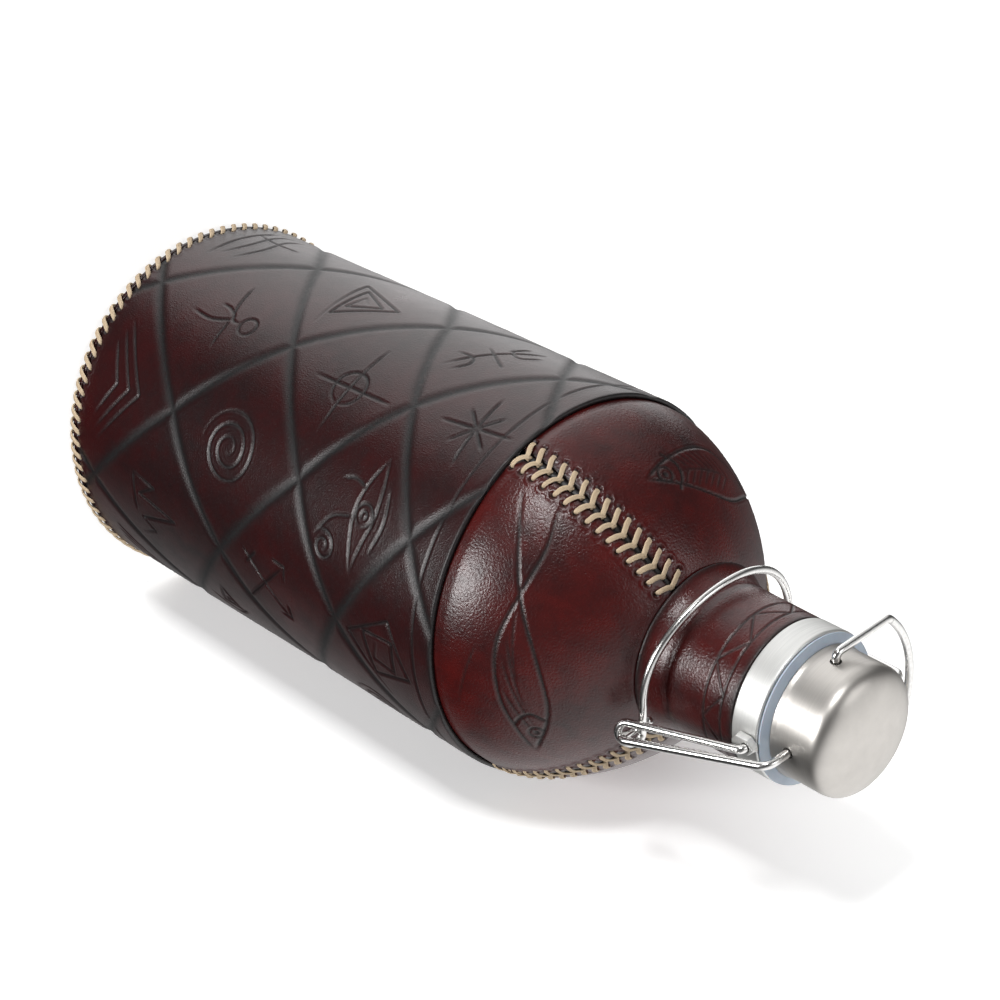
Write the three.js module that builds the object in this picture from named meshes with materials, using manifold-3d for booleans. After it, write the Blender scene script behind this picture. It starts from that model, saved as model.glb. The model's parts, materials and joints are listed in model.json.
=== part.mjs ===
// Leather-jacketed steel bottle with a wire swing-top stopper.
// Millimetres, +Z up. Origin: centre of the base, on the surface the bottle stands on.
// The handle of the closing lever faces -Y, its lugs lie on the X axis, the finger loop points to -X.

import * as THREE from "three";
import { mergeVertices } from "three/addons/utils/BufferGeometryUtils.js";
import Module from "manifold-3d";

const wasm = await Module();
wasm.setup();

// Driving dimensions
const GAP = 0.3; // clearance between touching pieces
const JACKET_R = 63.3; // outside of the leather sleeve
const SLEEVE_THICK = 3.0;
const PANEL_THICK = 2.0;
const STEEL_WALL = 1.0;
const BASE_THICK = 3.2; // leather base disc
const BASE_FLAT_R = 56.5; // the disc stands on this flat middle
const RIM_RISE = 1.4; // the disc's skived rim clears the floor by this
const SLEEVE_TOP_Z = 190.8;
const LIP_DEPTH = 8; // the sleeve's thinned top edge covers the panels' hems
const LIP_THICK = 1.5;
const SHOULDER_R = 61.8;
const SHOULDER_TOP_Z = 240.6;
const SHOULDER_TOP_R = 26.9;
const NECK_R = 21.4; // outside of the steel neck
const NECK_LEATHER_TOP_Z = 275.4;
const MOUTH_Z = 285.1; // top of the steel mouth ring
const MOUTH_RING_R = 24;
const CAP_R = 20.4;
const CAP_FLARE = 0.5; // the cap's rim is wider than its side
const CAP_BOTTOM_Z = 287.2;
const CAP_EDGE_Z = 300.2;
const CAP_TOP_Z = 308;
const CAP_WALL = 0.9;
const CAP_HOLE_Z = 293.6; // axis of the bail and of the finger loop in the cap
const GASKET_LOW_Z = MOUTH_Z + 0.4;
const RETAINER_R = 15; // plug under the gasket, inside the mouth
const RETAINER_LOW_Z = MOUTH_Z - 3.7;
const WIRE_R = 1.25;
const WIRE_HOLE_R = WIRE_R + 0.35;
const SEAM_AZIMUTHS = [-70, 50, 170]; // shoulder seams
const BACK_SEAM_AZIMUTH = 135; // sleeve and neck seams, away from the handle
const SEAM_GAP = 2.4;

// [radius, height] of the neck leather's outside, skirt edge first.
const NECK_OUTLINE = [
  [27.9, 241.1], [26.3, 243.2], [25.1, 246.2], [24.3, 250.6], [24.1, 255], [23.8, NECK_LEATHER_TOP_Z],
];

// Swing-top linkage, written for the +X side and mirrored for the -X side
const LUG_PIVOT_Z = 283.2;
const EYE = { y: 9.5, z: 245.1, r: 3.4, outerX: 36.4, innerX: 33.0 };
const LEVER_LEG_X = 28.1; // lever leg beside the lug
const HANDLE = { halfWidth: 31.4, reach: 28.5, sideZ: 248.0, frontZ: 252.0 };
const BAIL = { topX: 29.0, eyeX: 39.2, hookX: 29.9, hookTip: 3.6 };
const LOOP = { innerY: 16.5, legY: 23.2, cornerX: 22.3, cornerY: 23.5, arcR: 32.4 };

const RIB_COUNT = 84; // whip stitches round the base
const STITCH_PITCH = 3.85;
const STITCH = { half: 4.8, width: 1.9, drop: 1.7, thick: 1.1, spine: 0.5, lift: 0.25 };

const part = new THREE.Group();

function material(color, roughness, metalness) {
  return new THREE.MeshStandardMaterial({ color, roughness, metalness });
}

const finishes = {
  steel: material(0xb9b4ae, 0.32, 1.0),
  wire: material(0xd6d4d0, 0.18, 1.0),
  darkLeather: material(0x24100e, 0.5, 0.0),
  redLeather: material(0x3d110d, 0.42, 0.0),
  blackLeather: material(0x0c0a0a, 0.6, 0.0),
  lace: material(0xb59a74, 0.75, 0.0),
  silicone: material(0xa9bccb, 0.45, 0.0),
  plastic: material(0x9a9a98, 0.5, 0.0),
};

function add(name, geometry, finish) {
  const mesh = new THREE.Mesh(weld(geometry), finishes[finish]);
  mesh.name = name;
  part.add(mesh);
}

// Keeps only positions, joins equal vertices and drops triangles that have shrunk to a line.
function weld(geometry) {
  const bare = new THREE.BufferGeometry();
  bare.setAttribute("position", geometry.getAttribute("position").clone());
  if (geometry.index) bare.setIndex(geometry.index.clone());
  const merged = mergeVertices(bare, 1e-4);
  const kept = [];
  const index = merged.index.array;
  for (let i = 0; i < index.length; i += 3) {
    const [a, b, c] = [index[i], index[i + 1], index[i + 2]];
    if (a !== b && b !== c && c !== a) kept.push(a, b, c);
  }
  merged.setIndex(kept);
  merged.computeVertexNormals();
  return merged;
}

function toSolid(geometry) {
  const welded = weld(geometry);
  return new wasm.Manifold(new wasm.Mesh({
    numProp: 3,
    vertProperties: new Float32Array(welded.getAttribute("position").array),
    triVerts: new Uint32Array(welded.index.array),
  }));
}

function toGeometry(solid) {
  const mesh = solid.getMesh();
  const geometry = new THREE.BufferGeometry();
  geometry.setAttribute("position", new THREE.BufferAttribute(new Float32Array(mesh.vertProperties), 3));
  geometry.setIndex(new THREE.BufferAttribute(new Uint32Array(mesh.triVerts), 1));
  return geometry;
}

function cut(geometry, tools) {
  let solid = toSolid(geometry);
  for (const tool of tools) solid = solid.subtract(toSolid(tool));
  return toGeometry(solid);
}

// Turns a closed outline of [radius, height] points about +Z.
function lathe(outline, segments) {
  const points = outline.map(([r, z]) => new THREE.Vector2(r, z));
  const onAxis = outline[0][0] === 0 && outline.at(-1)[0] === 0;
  if (!onAxis) points.push(points[0].clone());
  return new THREE.LatheGeometry(points, segments).rotateX(Math.PI / 2);
}

function cylinderAlongX(radius, fromX, toX, z) {
  const rod = new THREE.CylinderGeometry(radius, radius, toX - fromX, 16).rotateZ(Math.PI / 2);
  return rod.translate((fromX + toX) / 2, 0, z);
}

function arcPoints(centreR, centreZ, radius, fromDeg, toDeg, steps) {
  const points = [];
  for (let i = 0; i <= steps; i++) {
    const angle = THREE.MathUtils.degToRad(fromDeg + ((toDeg - fromDeg) * i) / steps);
    points.push([centreR + radius * Math.cos(angle), centreZ + radius * Math.sin(angle)]);
  }
  return points;
}

// Moves an outline that runs upwards towards its left, which is towards the axis.
function offsetInwards(points, distance) {
  return points.map((point, i) => {
    const before = points[Math.max(i - 1, 0)];
    const after = points[Math.min(i + 1, points.length - 1)];
    const run = [after[0] - before[0], after[1] - before[1]];
    const length = Math.hypot(run[0], run[1]);
    return [point[0] - (run[1] / length) * distance, point[1] + (run[0] / length) * distance];
  });
}

// Outside of the shoulder leather, from the sleeve's top edge to the foot of the neck.
function shoulderOutline(steps) {
  const points = [];
  for (let i = 0; i <= steps; i++) {
    const angle = (Math.PI / 2) * (i / steps);
    const rise = Math.sin(angle) ** (2 / 1.7);
    const run = Math.cos(angle) ** (2 / 1.2);
    points.push([
      SHOULDER_TOP_R + (SHOULDER_R - SHOULDER_TOP_R) * run,
      SLEEVE_TOP_Z + (SHOULDER_TOP_Z - SLEEVE_TOP_Z) * rise,
    ]);
  }
  return points;
}

// ---- Steel bottle ----

const BODY_R = JACKET_R - SLEEVE_THICK - GAP;
const BODY_TOP_Z = SLEEVE_TOP_Z - LIP_DEPTH - 4;
const SHOULDER_DEPTH = PANEL_THICK + 1.5 * GAP; // of the steel below the leather's outside
const NECK_FILLET = 4;
const NECK_FOOT_Z = SHOULDER_TOP_Z - SHOULDER_DEPTH + NECK_FILLET;

function steelWall(outside, segments) {
  const inside = offsetInwards(outside, STEEL_WALL);
  return lathe([...outside, ...inside.reverse()], segments);
}

function steelBody() {
  return steelWall([[BODY_R, BASE_THICK + GAP], [BODY_R, BODY_TOP_Z]], 48);
}

function steelShoulder() {
  return steelWall([
    [BODY_R, BODY_TOP_Z + GAP],
    ...offsetInwards(shoulderOutline(8), SHOULDER_DEPTH),
    ...arcPoints(NECK_R + NECK_FILLET, NECK_FOOT_Z, NECK_FILLET, 260, 180, 3),
  ], 40);
}

function steelNeck() {
  return steelWall([[NECK_R, NECK_FOOT_Z + GAP], [NECK_R, MOUTH_Z - 0.5]], 40);
}

function steelBase() {
  const radius = JACKET_R - SLEEVE_THICK - STEEL_WALL - 2 * GAP;
  const low = BASE_THICK + GAP;
  return lathe([
    [0, low + 3],
    [radius - 10, low + 3],
    [radius - 5, low],
    [radius, low],
    [radius, low + STEEL_WALL],
    [radius - 4.6, low + STEEL_WALL],
    [radius - 9.6, low + 3 + STEEL_WALL],
    [0, low + 3 + STEEL_WALL],
  ], 48);
}

function mouthRing() {
  const inner = NECK_R + GAP;
  const low = NECK_LEATHER_TOP_Z + GAP;
  return lathe([
    [inner, low],
    [MOUTH_RING_R, low],
    [MOUTH_RING_R, MOUTH_Z - 0.6],
    [MOUTH_RING_R - 0.6, MOUTH_Z],
    [inner, MOUTH_Z],
  ], 48);
}

function lug(side) {
  const [thick, width, height] = [2.2, 6, 8];
  const block = new THREE.BoxGeometry(thick, width, height);
  const inner = MOUTH_RING_R + GAP;
  block.translate(inner + thick / 2, 0, LUG_PIVOT_Z - 1.2);
  const drilled = cut(block, [cylinderAlongX(WIRE_HOLE_R, inner - 1, inner + thick + 1, LUG_PIVOT_Z)]);
  if (side < 0) drilled.rotateZ(Math.PI);
  return drilled;
}

// ---- Leather jacket ----

function leatherBase() {
  return lathe([
    [0, 0],
    [BASE_FLAT_R, 0],
    [BASE_FLAT_R + 1.4, RIM_RISE],
    [JACKET_R, RIM_RISE],
    [JACKET_R, BASE_THICK],
    [0, BASE_THICK],
  ], 60);
}

// A box that reaches from the axis outwards at an azimuth, used to open or fill a seam.
function seamBlock(azimuth, width, lowZ, highZ) {
  const block = new THREE.BoxGeometry(90, width, highZ - lowZ);
  block.translate(45, 0, (lowZ + highZ) / 2);
  return block.rotateZ(THREE.MathUtils.degToRad(azimuth));
}

function leatherSleeve() {
  const inner = JACKET_R - SLEEVE_THICK;
  const low = BASE_THICK + GAP;
  const lipZ = SLEEVE_TOP_Z - LIP_DEPTH;
  const ring = lathe([
    [JACKET_R, low],
    [JACKET_R, SLEEVE_TOP_Z],
    [JACKET_R - LIP_THICK, SLEEVE_TOP_Z],
    [JACKET_R - LIP_THICK, lipZ],
    [inner, lipZ],
    [inner, low],
  ], 72);
  return cut(ring, [seamBlock(BACK_SEAM_AZIMUTH, SEAM_GAP, 0, 200)]);
}

function shoulderRing(outerInset, thick) {
  const lipZ = SLEEVE_TOP_Z - LIP_DEPTH + 2 * GAP;
  const hemR = JACKET_R - LIP_THICK - GAP;
  const outline = shoulderOutline(8).slice(1);
  const face = [[hemR, lipZ], [hemR, SLEEVE_TOP_Z + 0.2], ...outline, [NECK_R + 3.1, SHOULDER_TOP_Z + 0.1]];
  const outside = offsetInwards(face, outerInset);
  const inside = offsetInwards(face, outerInset + thick);
  const boreR = JACKET_R - SLEEVE_THICK;
  inside[0] = [boreR, lipZ];
  inside[1] = [boreR, SLEEVE_TOP_Z - 3];
  return lathe([...outside, ...inside.reverse()], 60);
}

function shoulderPanel(azimuth) {
  const wedge = new THREE.Shape();
  const reach = 200;
  wedge.moveTo(0, 0);
  wedge.lineTo(reach * Math.cos(Math.PI / 3), -reach * Math.sin(Math.PI / 3));
  wedge.lineTo(reach, 0);
  wedge.lineTo(reach * Math.cos(Math.PI / 3), reach * Math.sin(Math.PI / 3));
  wedge.closePath();
  const prism = new THREE.ExtrudeGeometry(wedge, { depth: 100, bevelEnabled: false });
  prism.translate(SEAM_GAP / Math.sqrt(3), 0, 160).rotateZ(THREE.MathUtils.degToRad(azimuth + 60));
  return toGeometry(toSolid(shoulderRing(0, PANEL_THICK)).intersect(toSolid(prism)));
}

function seamBacking(azimuth) {
  const strip = seamBlock(azimuth, SEAM_GAP - 2 * GAP, SLEEVE_TOP_Z + 0.5, SHOULDER_TOP_Z + 5);
  return toGeometry(toSolid(shoulderRing(0.8, PANEL_THICK - 0.8)).intersect(toSolid(strip)));
}

function neckWrap() {
  const top = NECK_LEATHER_TOP_Z;
  const inside = [[NECK_R + 0.5, top], [NECK_R + 0.5, 251], [NECK_R + 1.5, 245.5], [25.4, 241.1]];
  const ring = lathe([...NECK_OUTLINE, ...inside], 48);
  return cut(ring, [seamBlock(BACK_SEAM_AZIMUTH, SEAM_GAP, 235, 285)]);
}

// ---- Lacing: flat cord in V stitches, joined into one body by its overlapping middle ----

function outlineAt(outline, distance) {
  let left = distance;
  for (let i = 1; i < outline.length; i++) {
    const [a, b] = [outline[i - 1], outline[i]];
    const run = [b[0] - a[0], b[1] - a[1]];
    const length = Math.hypot(run[0], run[1]);
    if (left <= length || i === outline.length - 1) {
      const share = left / length;
      return { r: a[0] + run[0] * share, z: a[1] + run[1] * share, nr: run[1] / length, nz: -run[0] / length };
    }
    left -= length;
  }
}

// One V stitch with its stretch of the middle cord, flat: x runs along the seam and y across it.
function stitchShape(low, reach) {
  const { half, width, drop, spine } = STITCH;
  const right = [[0, spine], [-drop, half], [width - drop, half], [width, spine], [reach + 0.1, spine]];
  const left = right.map(([along, across]) => [along, -across]).reverse();
  const shape = new THREE.Shape();
  [...right, ...left].forEach(([along, across], i) => {
    if (i === 0) shape.moveTo(low + along, across);
    else shape.lineTo(low + along, across);
  });
  return shape;
}

function lacing(outline, azimuth, start, count, pitch) {
  let cord = null;
  for (let stitch = 0; stitch < count; stitch++) {
    const reach = stitch === count - 1 ? STITCH.width : pitch;
    const shape = stitchShape(start + stitch * pitch, reach);
    const geometry = new THREE.ExtrudeGeometry(shape, { depth: STITCH.thick, bevelEnabled: false });
    const position = geometry.getAttribute("position");
    for (let i = 0; i < position.count; i++) {
      const at = outlineAt(outline, position.getX(i));
      const out = STITCH.lift + position.getZ(i);
      const r = at.r + at.nr * out;
      const angle = THREE.MathUtils.degToRad(azimuth) - position.getY(i) / at.r;
      position.setXYZ(i, r * Math.cos(angle), r * Math.sin(angle), at.z + at.nz * out);
    }
    cord = cord ? cord.add(toSolid(geometry)) : toSolid(geometry);
  }
  return toGeometry(cord);
}

function shoulderLacing(azimuth) {
  return lacing(shoulderOutline(24), azimuth, 1.8, 16, STITCH_PITCH);
}

function sleeveLacing() {
  return lacing([[JACKET_R, 0], [JACKET_R, SLEEVE_TOP_Z]], BACK_SEAM_AZIMUTH, 15, 21, 8);
}

function neckLacing() {
  return lacing([[25, 247], [24.3, 250.6], [24.1, 255], [23.9, NECK_LEATHER_TOP_Z]], BACK_SEAM_AZIMUTH, 2.5, 6, 4.2);
}

// Whip stitches over the base rim: a ribbed, slanted ring round the corner.
function baseLacing() {
  const near = 0.25; // clearance to the leather
  const corner = JACKET_R + near;
  const under = RIM_RISE - near;
  const band = (thick) => [
    [BASE_FLAT_R + 2.4, under - thick * 0.9],
    [corner + thick * 0.8, under - thick * 0.9],
    [corner + thick, 8],
    [corner, 8],
    [corner, under],
    [BASE_FLAT_R + 2.4, under],
  ];
  const ridge = band(1.15);
  const valley = band(0.5);
  const closed = [...ridge, ridge[0]];
  const geometry = new THREE.LatheGeometry(closed.map(([r, z]) => new THREE.Vector2(r, z)), RIB_COUNT * 2);
  const position = geometry.getAttribute("position");
  for (let i = 0; i < position.count; i++) {
    const spoke = Math.floor(i / closed.length);
    const [r, z] = (spoke % 2 ? [...valley, valley[0]] : closed)[i % closed.length];
    const slant = (z / 8) * (Math.PI / RIB_COUNT);
    const angle = (spoke * Math.PI) / RIB_COUNT + slant;
    position.setXYZ(i, r * Math.sin(angle), z, r * Math.cos(angle));
  }
  return geometry.rotateX(Math.PI / 2);
}

// ---- Stopper ----

function capShell() {
  const dome = [];
  const inside = [];
  const steps = 5;
  for (let i = 1; i <= steps; i++) {
    const angle = (Math.PI / 2) * (i / steps);
    const across = i === steps ? 0 : Math.cos(angle) ** (2 / 2.6);
    const up = Math.sin(angle) ** (2 / 2.6);
    dome.push([CAP_R * across, CAP_EDGE_Z + (CAP_TOP_Z - CAP_EDGE_Z) * up]);
    inside.push([(CAP_R - CAP_WALL) * across, CAP_EDGE_Z + (CAP_TOP_Z - CAP_EDGE_Z - CAP_WALL) * up]);
  }
  const shell = lathe([
    ...inside.reverse(),
    [CAP_R - CAP_WALL, CAP_EDGE_Z],
    [CAP_R - CAP_WALL, CAP_BOTTOM_Z],
    [CAP_R + CAP_FLARE, CAP_BOTTOM_Z],
    [CAP_R, CAP_BOTTOM_Z + 2.5],
    [CAP_R, CAP_EDGE_Z],
    ...dome,
  ], 36);
  const across = cylinderAlongX(WIRE_HOLE_R + 0.2, -30, 30, CAP_HOLE_Z);
  return cut(shell, [across, across.clone().rotateZ(Math.PI / 2)]);
}

function capCore() {
  const radius = CAP_R - CAP_WALL - GAP;
  const core = lathe([
    [0, CAP_BOTTOM_Z + GAP],
    [radius, CAP_BOTTOM_Z + GAP],
    [radius, CAP_EDGE_Z],
    [radius - 3, CAP_EDGE_Z + 2.5],
    [0, CAP_EDGE_Z + 2.5],
  ], 32);
  const through = cylinderAlongX(WIRE_HOLE_R, -30, 30, CAP_HOLE_Z);
  const blind = cylinderAlongX(WIRE_HOLE_R, LOOP.innerY - GAP, 30, CAP_HOLE_Z);
  return cut(core, [
    through,
    blind.clone().rotateZ(Math.PI / 2),
    blind.clone().rotateZ(-Math.PI / 2),
  ]);
}

function gasket() {
  const top = CAP_BOTTOM_Z - GAP;
  const hole = RETAINER_R - 1.5;
  return lathe([
    [hole, GASKET_LOW_Z],
    [MOUTH_RING_R - 0.6, GASKET_LOW_Z],
    [MOUTH_RING_R - 0.2, GASKET_LOW_Z + 0.5],
    [CAP_R + 1.6, top],
    [hole, top],
  ], 40);
}

function gasketRetainer() {
  return lathe([
    [0, RETAINER_LOW_Z],
    [RETAINER_R - 1, RETAINER_LOW_Z],
    [RETAINER_R, RETAINER_LOW_Z + 1],
    [RETAINER_R, GASKET_LOW_Z - GAP],
    [RETAINER_R - 1.5 - GAP, GASKET_LOW_Z - GAP],
    [RETAINER_R - 1.5 - GAP, CAP_BOTTOM_Z],
    [0, CAP_BOTTOM_Z],
  ], 32);
}

// ---- Wires ----

// Rounds each inner corner of a chain of points to its bend radius.
function bend(corners) {
  const points = [];
  for (let i = 0; i < corners.length; i++) {
    const { at, radius = 0 } = corners[i];
    if (radius === 0 || i === 0 || i === corners.length - 1) {
      points.push(at);
      continue;
    }
    const back = corners[i - 1].at.clone().sub(at).normalize();
    const ahead = corners[i + 1].at.clone().sub(at).normalize();
    const half = back.angleTo(ahead) / 2;
    const setback = radius / Math.tan(half);
    const start = at.clone().addScaledVector(back, setback);
    const end = at.clone().addScaledVector(ahead, setback);
    points.push(...new THREE.QuadraticBezierCurve3(start, at, end).getPoints(5));
  }
  return points;
}

function wire(points, step) {
  const path = new THREE.CurvePath();
  for (let i = 1; i < points.length; i++) path.add(new THREE.LineCurve3(points[i - 1], points[i]));
  const circle = new THREE.Shape().absarc(0, 0, WIRE_R, 0, 2 * Math.PI);
  const steps = Math.round(path.getLength() / step);
  return new THREE.ExtrudeGeometry(circle, { steps, curveSegments: 4, bevelEnabled: false, extrudePath: path });
}

function mirrored(points) {
  return points.map((p) => new THREE.Vector3(-p.x, p.y, p.z)).reverse();
}

function leverWire() {
  const leg = bend([
    { at: new THREE.Vector3(MOUTH_RING_R + 0.8, 0, LUG_PIVOT_Z) },
    { at: new THREE.Vector3(LEVER_LEG_X, 0, LUG_PIVOT_Z), radius: 1.8 },
    { at: new THREE.Vector3(EYE.outerX, EYE.y - EYE.r, EYE.z) },
  ]);
  const coil = [];
  const steps = 15;
  for (let i = 1; i <= steps; i++) {
    const share = i / steps;
    const angle = Math.PI + 1.5 * Math.PI * share;
    const x = EYE.outerX + (EYE.innerX - EYE.outerX) * share;
    coil.push(new THREE.Vector3(x, EYE.y + EYE.r * Math.cos(angle), EYE.z + EYE.r * Math.sin(angle)));
  }
  const half = [];
  const sweepSteps = 14;
  for (let i = 0; i < sweepSteps; i++) {
    const angle = (Math.PI / 2) * (i / sweepSteps);
    half.push(new THREE.Vector3(
      HANDLE.halfWidth * Math.cos(angle),
      -HANDLE.reach * Math.sin(angle),
      HANDLE.sideZ + (HANDLE.frontZ - HANDLE.sideZ) * Math.sin(angle) ** 2,
    ));
  }
  const front = new THREE.Vector3(0, -HANDLE.reach, HANDLE.frontZ);
  const side = [...leg, ...coil, ...half];
  return wire([...side, front, ...mirrored(side)], 2.6);
}

function bailWire() {
  const tip = new THREE.Vector3(BAIL.hookX, EYE.y - BAIL.hookTip, EYE.z + BAIL.hookTip);
  const side = bend([
    { at: tip },
    { at: new THREE.Vector3(BAIL.hookX, EYE.y, EYE.z), radius: 1.5 },
    { at: new THREE.Vector3(BAIL.eyeX, EYE.y, EYE.z), radius: 2 },
    { at: new THREE.Vector3(BAIL.topX, 0, CAP_HOLE_Z), radius: 4 },
    { at: new THREE.Vector3(0, 0, CAP_HOLE_Z) },
  ]);
  return wire([...side, ...mirrored(side).slice(1)], 2.5);
}

function fingerLoop() {
  const at = (x, y) => new THREE.Vector3(x, y, CAP_HOLE_Z);
  const arc = [];
  const start = Math.atan2(LOOP.cornerY, -LOOP.cornerX);
  const steps = 12;
  for (let i = 1; i < steps; i++) {
    const angle = start + (2 * Math.PI - 2 * start) * (i / steps);
    arc.push({ at: at(LOOP.arcR * Math.cos(angle), LOOP.arcR * Math.sin(angle)) });
  }
  return wire(bend([
    { at: at(0, LOOP.innerY) },
    { at: at(0, LOOP.legY), radius: 2.2 },
    { at: at(-LOOP.cornerX, LOOP.cornerY), radius: 3.5 },
    ...arc,
    { at: at(-LOOP.cornerX, -LOOP.cornerY), radius: 3.5 },
    { at: at(0, -LOOP.legY), radius: 2.2 },
    { at: at(0, -LOOP.innerY) },
  ]), 2.2);
}

add("steel_body", steelBody(), "steel");
add("steel_shoulder", steelShoulder(), "steel");
add("steel_neck", steelNeck(), "steel");
add("steel_base", steelBase(), "steel");
add("mouth_ring", mouthRing(), "steel");
add("lug_right", lug(1), "steel");
add("lug_left", lug(-1), "steel");
add("leather_base", leatherBase(), "darkLeather");
add("leather_sleeve", leatherSleeve(), "darkLeather");
SEAM_AZIMUTHS.forEach((azimuth, i) => {
  add(`shoulder_panel_${i + 1}`, shoulderPanel(azimuth), "redLeather");
  add(`seam_backing_${i + 1}`, seamBacking(azimuth), "blackLeather");
  add(`shoulder_lacing_${i + 1}`, shoulderLacing(azimuth), "lace");
});
add("neck_wrap", neckWrap(), "redLeather");
add("neck_lacing", neckLacing(), "lace");
add("sleeve_lacing", sleeveLacing(), "lace");
add("base_lacing", baseLacing(), "lace");
add("cap_shell", capShell(), "steel");
add("cap_core", capCore(), "plastic");
add("gasket", gasket(), "silicone");
add("gasket_retainer", gasketRetainer(), "plastic");
add("lever_wire", leverWire(), "wire");
add("bail_wire", bailWire(), "wire");
add("finger_loop", fingerLoop(), "wire");

export default part;
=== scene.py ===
import json
import math

import bmesh
import bpy
import numpy as np
from mathutils import Matrix, Vector


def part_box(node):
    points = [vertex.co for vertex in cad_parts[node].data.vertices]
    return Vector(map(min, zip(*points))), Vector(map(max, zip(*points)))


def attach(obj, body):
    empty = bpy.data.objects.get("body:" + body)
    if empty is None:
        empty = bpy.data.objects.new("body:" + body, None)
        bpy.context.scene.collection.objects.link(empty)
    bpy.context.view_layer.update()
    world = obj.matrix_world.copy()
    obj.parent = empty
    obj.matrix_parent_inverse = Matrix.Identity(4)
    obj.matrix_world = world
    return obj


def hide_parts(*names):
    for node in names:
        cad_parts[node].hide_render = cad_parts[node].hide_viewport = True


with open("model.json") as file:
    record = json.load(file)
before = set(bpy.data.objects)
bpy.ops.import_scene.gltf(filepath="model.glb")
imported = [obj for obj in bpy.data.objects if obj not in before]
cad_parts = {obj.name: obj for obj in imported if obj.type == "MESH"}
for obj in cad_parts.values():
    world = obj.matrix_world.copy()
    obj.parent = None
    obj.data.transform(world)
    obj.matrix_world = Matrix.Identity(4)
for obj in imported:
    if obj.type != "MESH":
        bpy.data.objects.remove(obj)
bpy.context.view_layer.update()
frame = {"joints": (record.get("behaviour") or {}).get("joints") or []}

# Everything below is in millimetres and degrees until new_piece() scales it to metres.
MM = 0.001


def box_mm(node):
    """Lowest and highest corner of a CAD node, in millimetres."""
    low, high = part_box(node)
    return np.array(low) / MM, np.array(high) / MM


def pivot_mm(joint):
    """Where a joint of the record turns, in millimetres."""
    found = next(j for j in frame["joints"] if j["name"] == joint)
    return np.array(found["pos_m"], float) / MM


# ---- Sizes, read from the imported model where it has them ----

SLEEVE_LOW, SLEEVE_HIGH = box_mm("leather_sleeve")
JACKET_R = SLEEVE_HIGH[0]
SLEEVE_LOW_Z = SLEEVE_LOW[2]
SLEEVE_TOP_Z = SLEEVE_HIGH[2]
SLEEVE_THICK = 3.0
LIP_DEPTH = 8.0
LIP_THICK = 1.5
PANEL_THICK = 2.0
HEM_R = JACKET_R - LIP_THICK - 0.3
SHOULDER_R = 61.8
SHOULDER_TOP_R = 26.9
SHOULDER_TOP_Z = 240.6
NECK_R = 24.3
NECK_GAP_R = 24.2  # where the gap of the neck's seam is measured
NECK_TOP_Z = box_mm("neck_wrap")[1][2]
NECK_FOOT_R = box_mm("neck_wrap")[1][0]
NECK_STEEL_R = 21.4
RING_LOW, RING_HIGH = box_mm("mouth_ring")
MOUTH_R = RING_HIGH[0]
MOUTH_Z = RING_HIGH[2]
CAP_LOW, CAP_HIGH = box_mm("cap_shell")
CAP_R = 20.4
CAP_EDGE_Z = 300.2
CAP_WALL = 0.9
GASKET_LOW, GASKET_HIGH = box_mm("gasket")
RETAINER_LOW, RETAINER_HIGH = box_mm("gasket_retainer")
RETAINER_R = RETAINER_HIGH[0]
WIRE_R = 1.25
LUG_PIVOT = pivot_mm("lever_pivot")
EYE_PIVOT = pivot_mm("bail_pivot")
CAP_PIVOT = pivot_mm("cap_pivot")
SEAMS = (-70, 50, 170)  # azimuths of the shoulder seams
BACK_SEAM = 135  # azimuth of the sleeve's and the neck's seam
SEAM_GAP = 2.4
FACING = -45  # azimuth of the side that the camera faces; the marks are placed from it
BASE_STITCHES = 84
COIL_TILT = 35  # degrees that the lever's eyes turn outwards and up
HOLE_Z = 5.2  # height of the stitch holes over the base rim
LACE_HOLE_OUT = 5.0  # from the seam to a stitch hole
LACE_HOLE_BACK = 0.75  # how far a pair of stitch holes lies before the start of its V
# First stitch, count and pitch along each seam.
SHOULDER_LACES = (1.8, 15, 4.15)
SLEEVE_LACES = (15, 21, 8)
NECK_LACES = (2.5, 6, 4.2)
NECK_LACES_Z = 247  # foot of the neck's seam
LOOP_LEG_Y = 23.2  # where the finger loop's ends turn in to the cap

rng = np.random.default_rng(7)


# ---- Mesh building ----

def add_object(name, data):
    made = bpy.data.objects.new(name, data)
    bpy.context.scene.collection.objects.link(made)
    return made


def new_piece(name, points, faces, material, body, stands_for, weld=False):
    """A smooth closed mesh from points in millimetres, riding on a body in place of CAD nodes."""
    mesh = bpy.data.meshes.new(name)
    mesh.from_pydata((np.asarray(points) * MM).tolist(), [], faces)
    shape = bmesh.new()
    shape.from_mesh(mesh)
    if weld:
        bmesh.ops.remove_doubles(shape, verts=shape.verts, dist=1e-7)
    bmesh.ops.recalc_face_normals(shape, faces=shape.faces)
    shape.to_mesh(mesh)
    shape.free()
    mesh.shade_smooth()
    mesh.materials.append(material)
    piece = add_object(name, mesh)
    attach(piece, body)
    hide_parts(*stands_for)
    return piece


def set_value(piece, name, values):
    """Stores one number per vertex, for the material to read."""
    attribute = piece.data.attributes.new(name, "FLOAT", "POINT")
    attribute.data.foreach_set("value", np.asarray(values, np.float32).ravel())


def set_vector(piece, name, values):
    attribute = piece.data.attributes.new(name, "FLOAT_VECTOR", "POINT")
    attribute.data.foreach_set("vector", np.asarray(values, np.float32).ravel())


def grid_faces(rows, cols, wrap_rows, wrap_cols):
    """The four-sided faces of a grid of points, closed round in either direction when asked."""
    i, j = np.meshgrid(
        np.arange(rows if wrap_rows else rows - 1),
        np.arange(cols if wrap_cols else cols - 1),
        indexing="ij",
    )
    ahead, right = (i + 1) % rows, (j + 1) % cols
    corners = [i * cols + j, i * cols + right, ahead * cols + right, ahead * cols + j]
    return np.stack(corners, -1).reshape(-1, 4).tolist()


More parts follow.
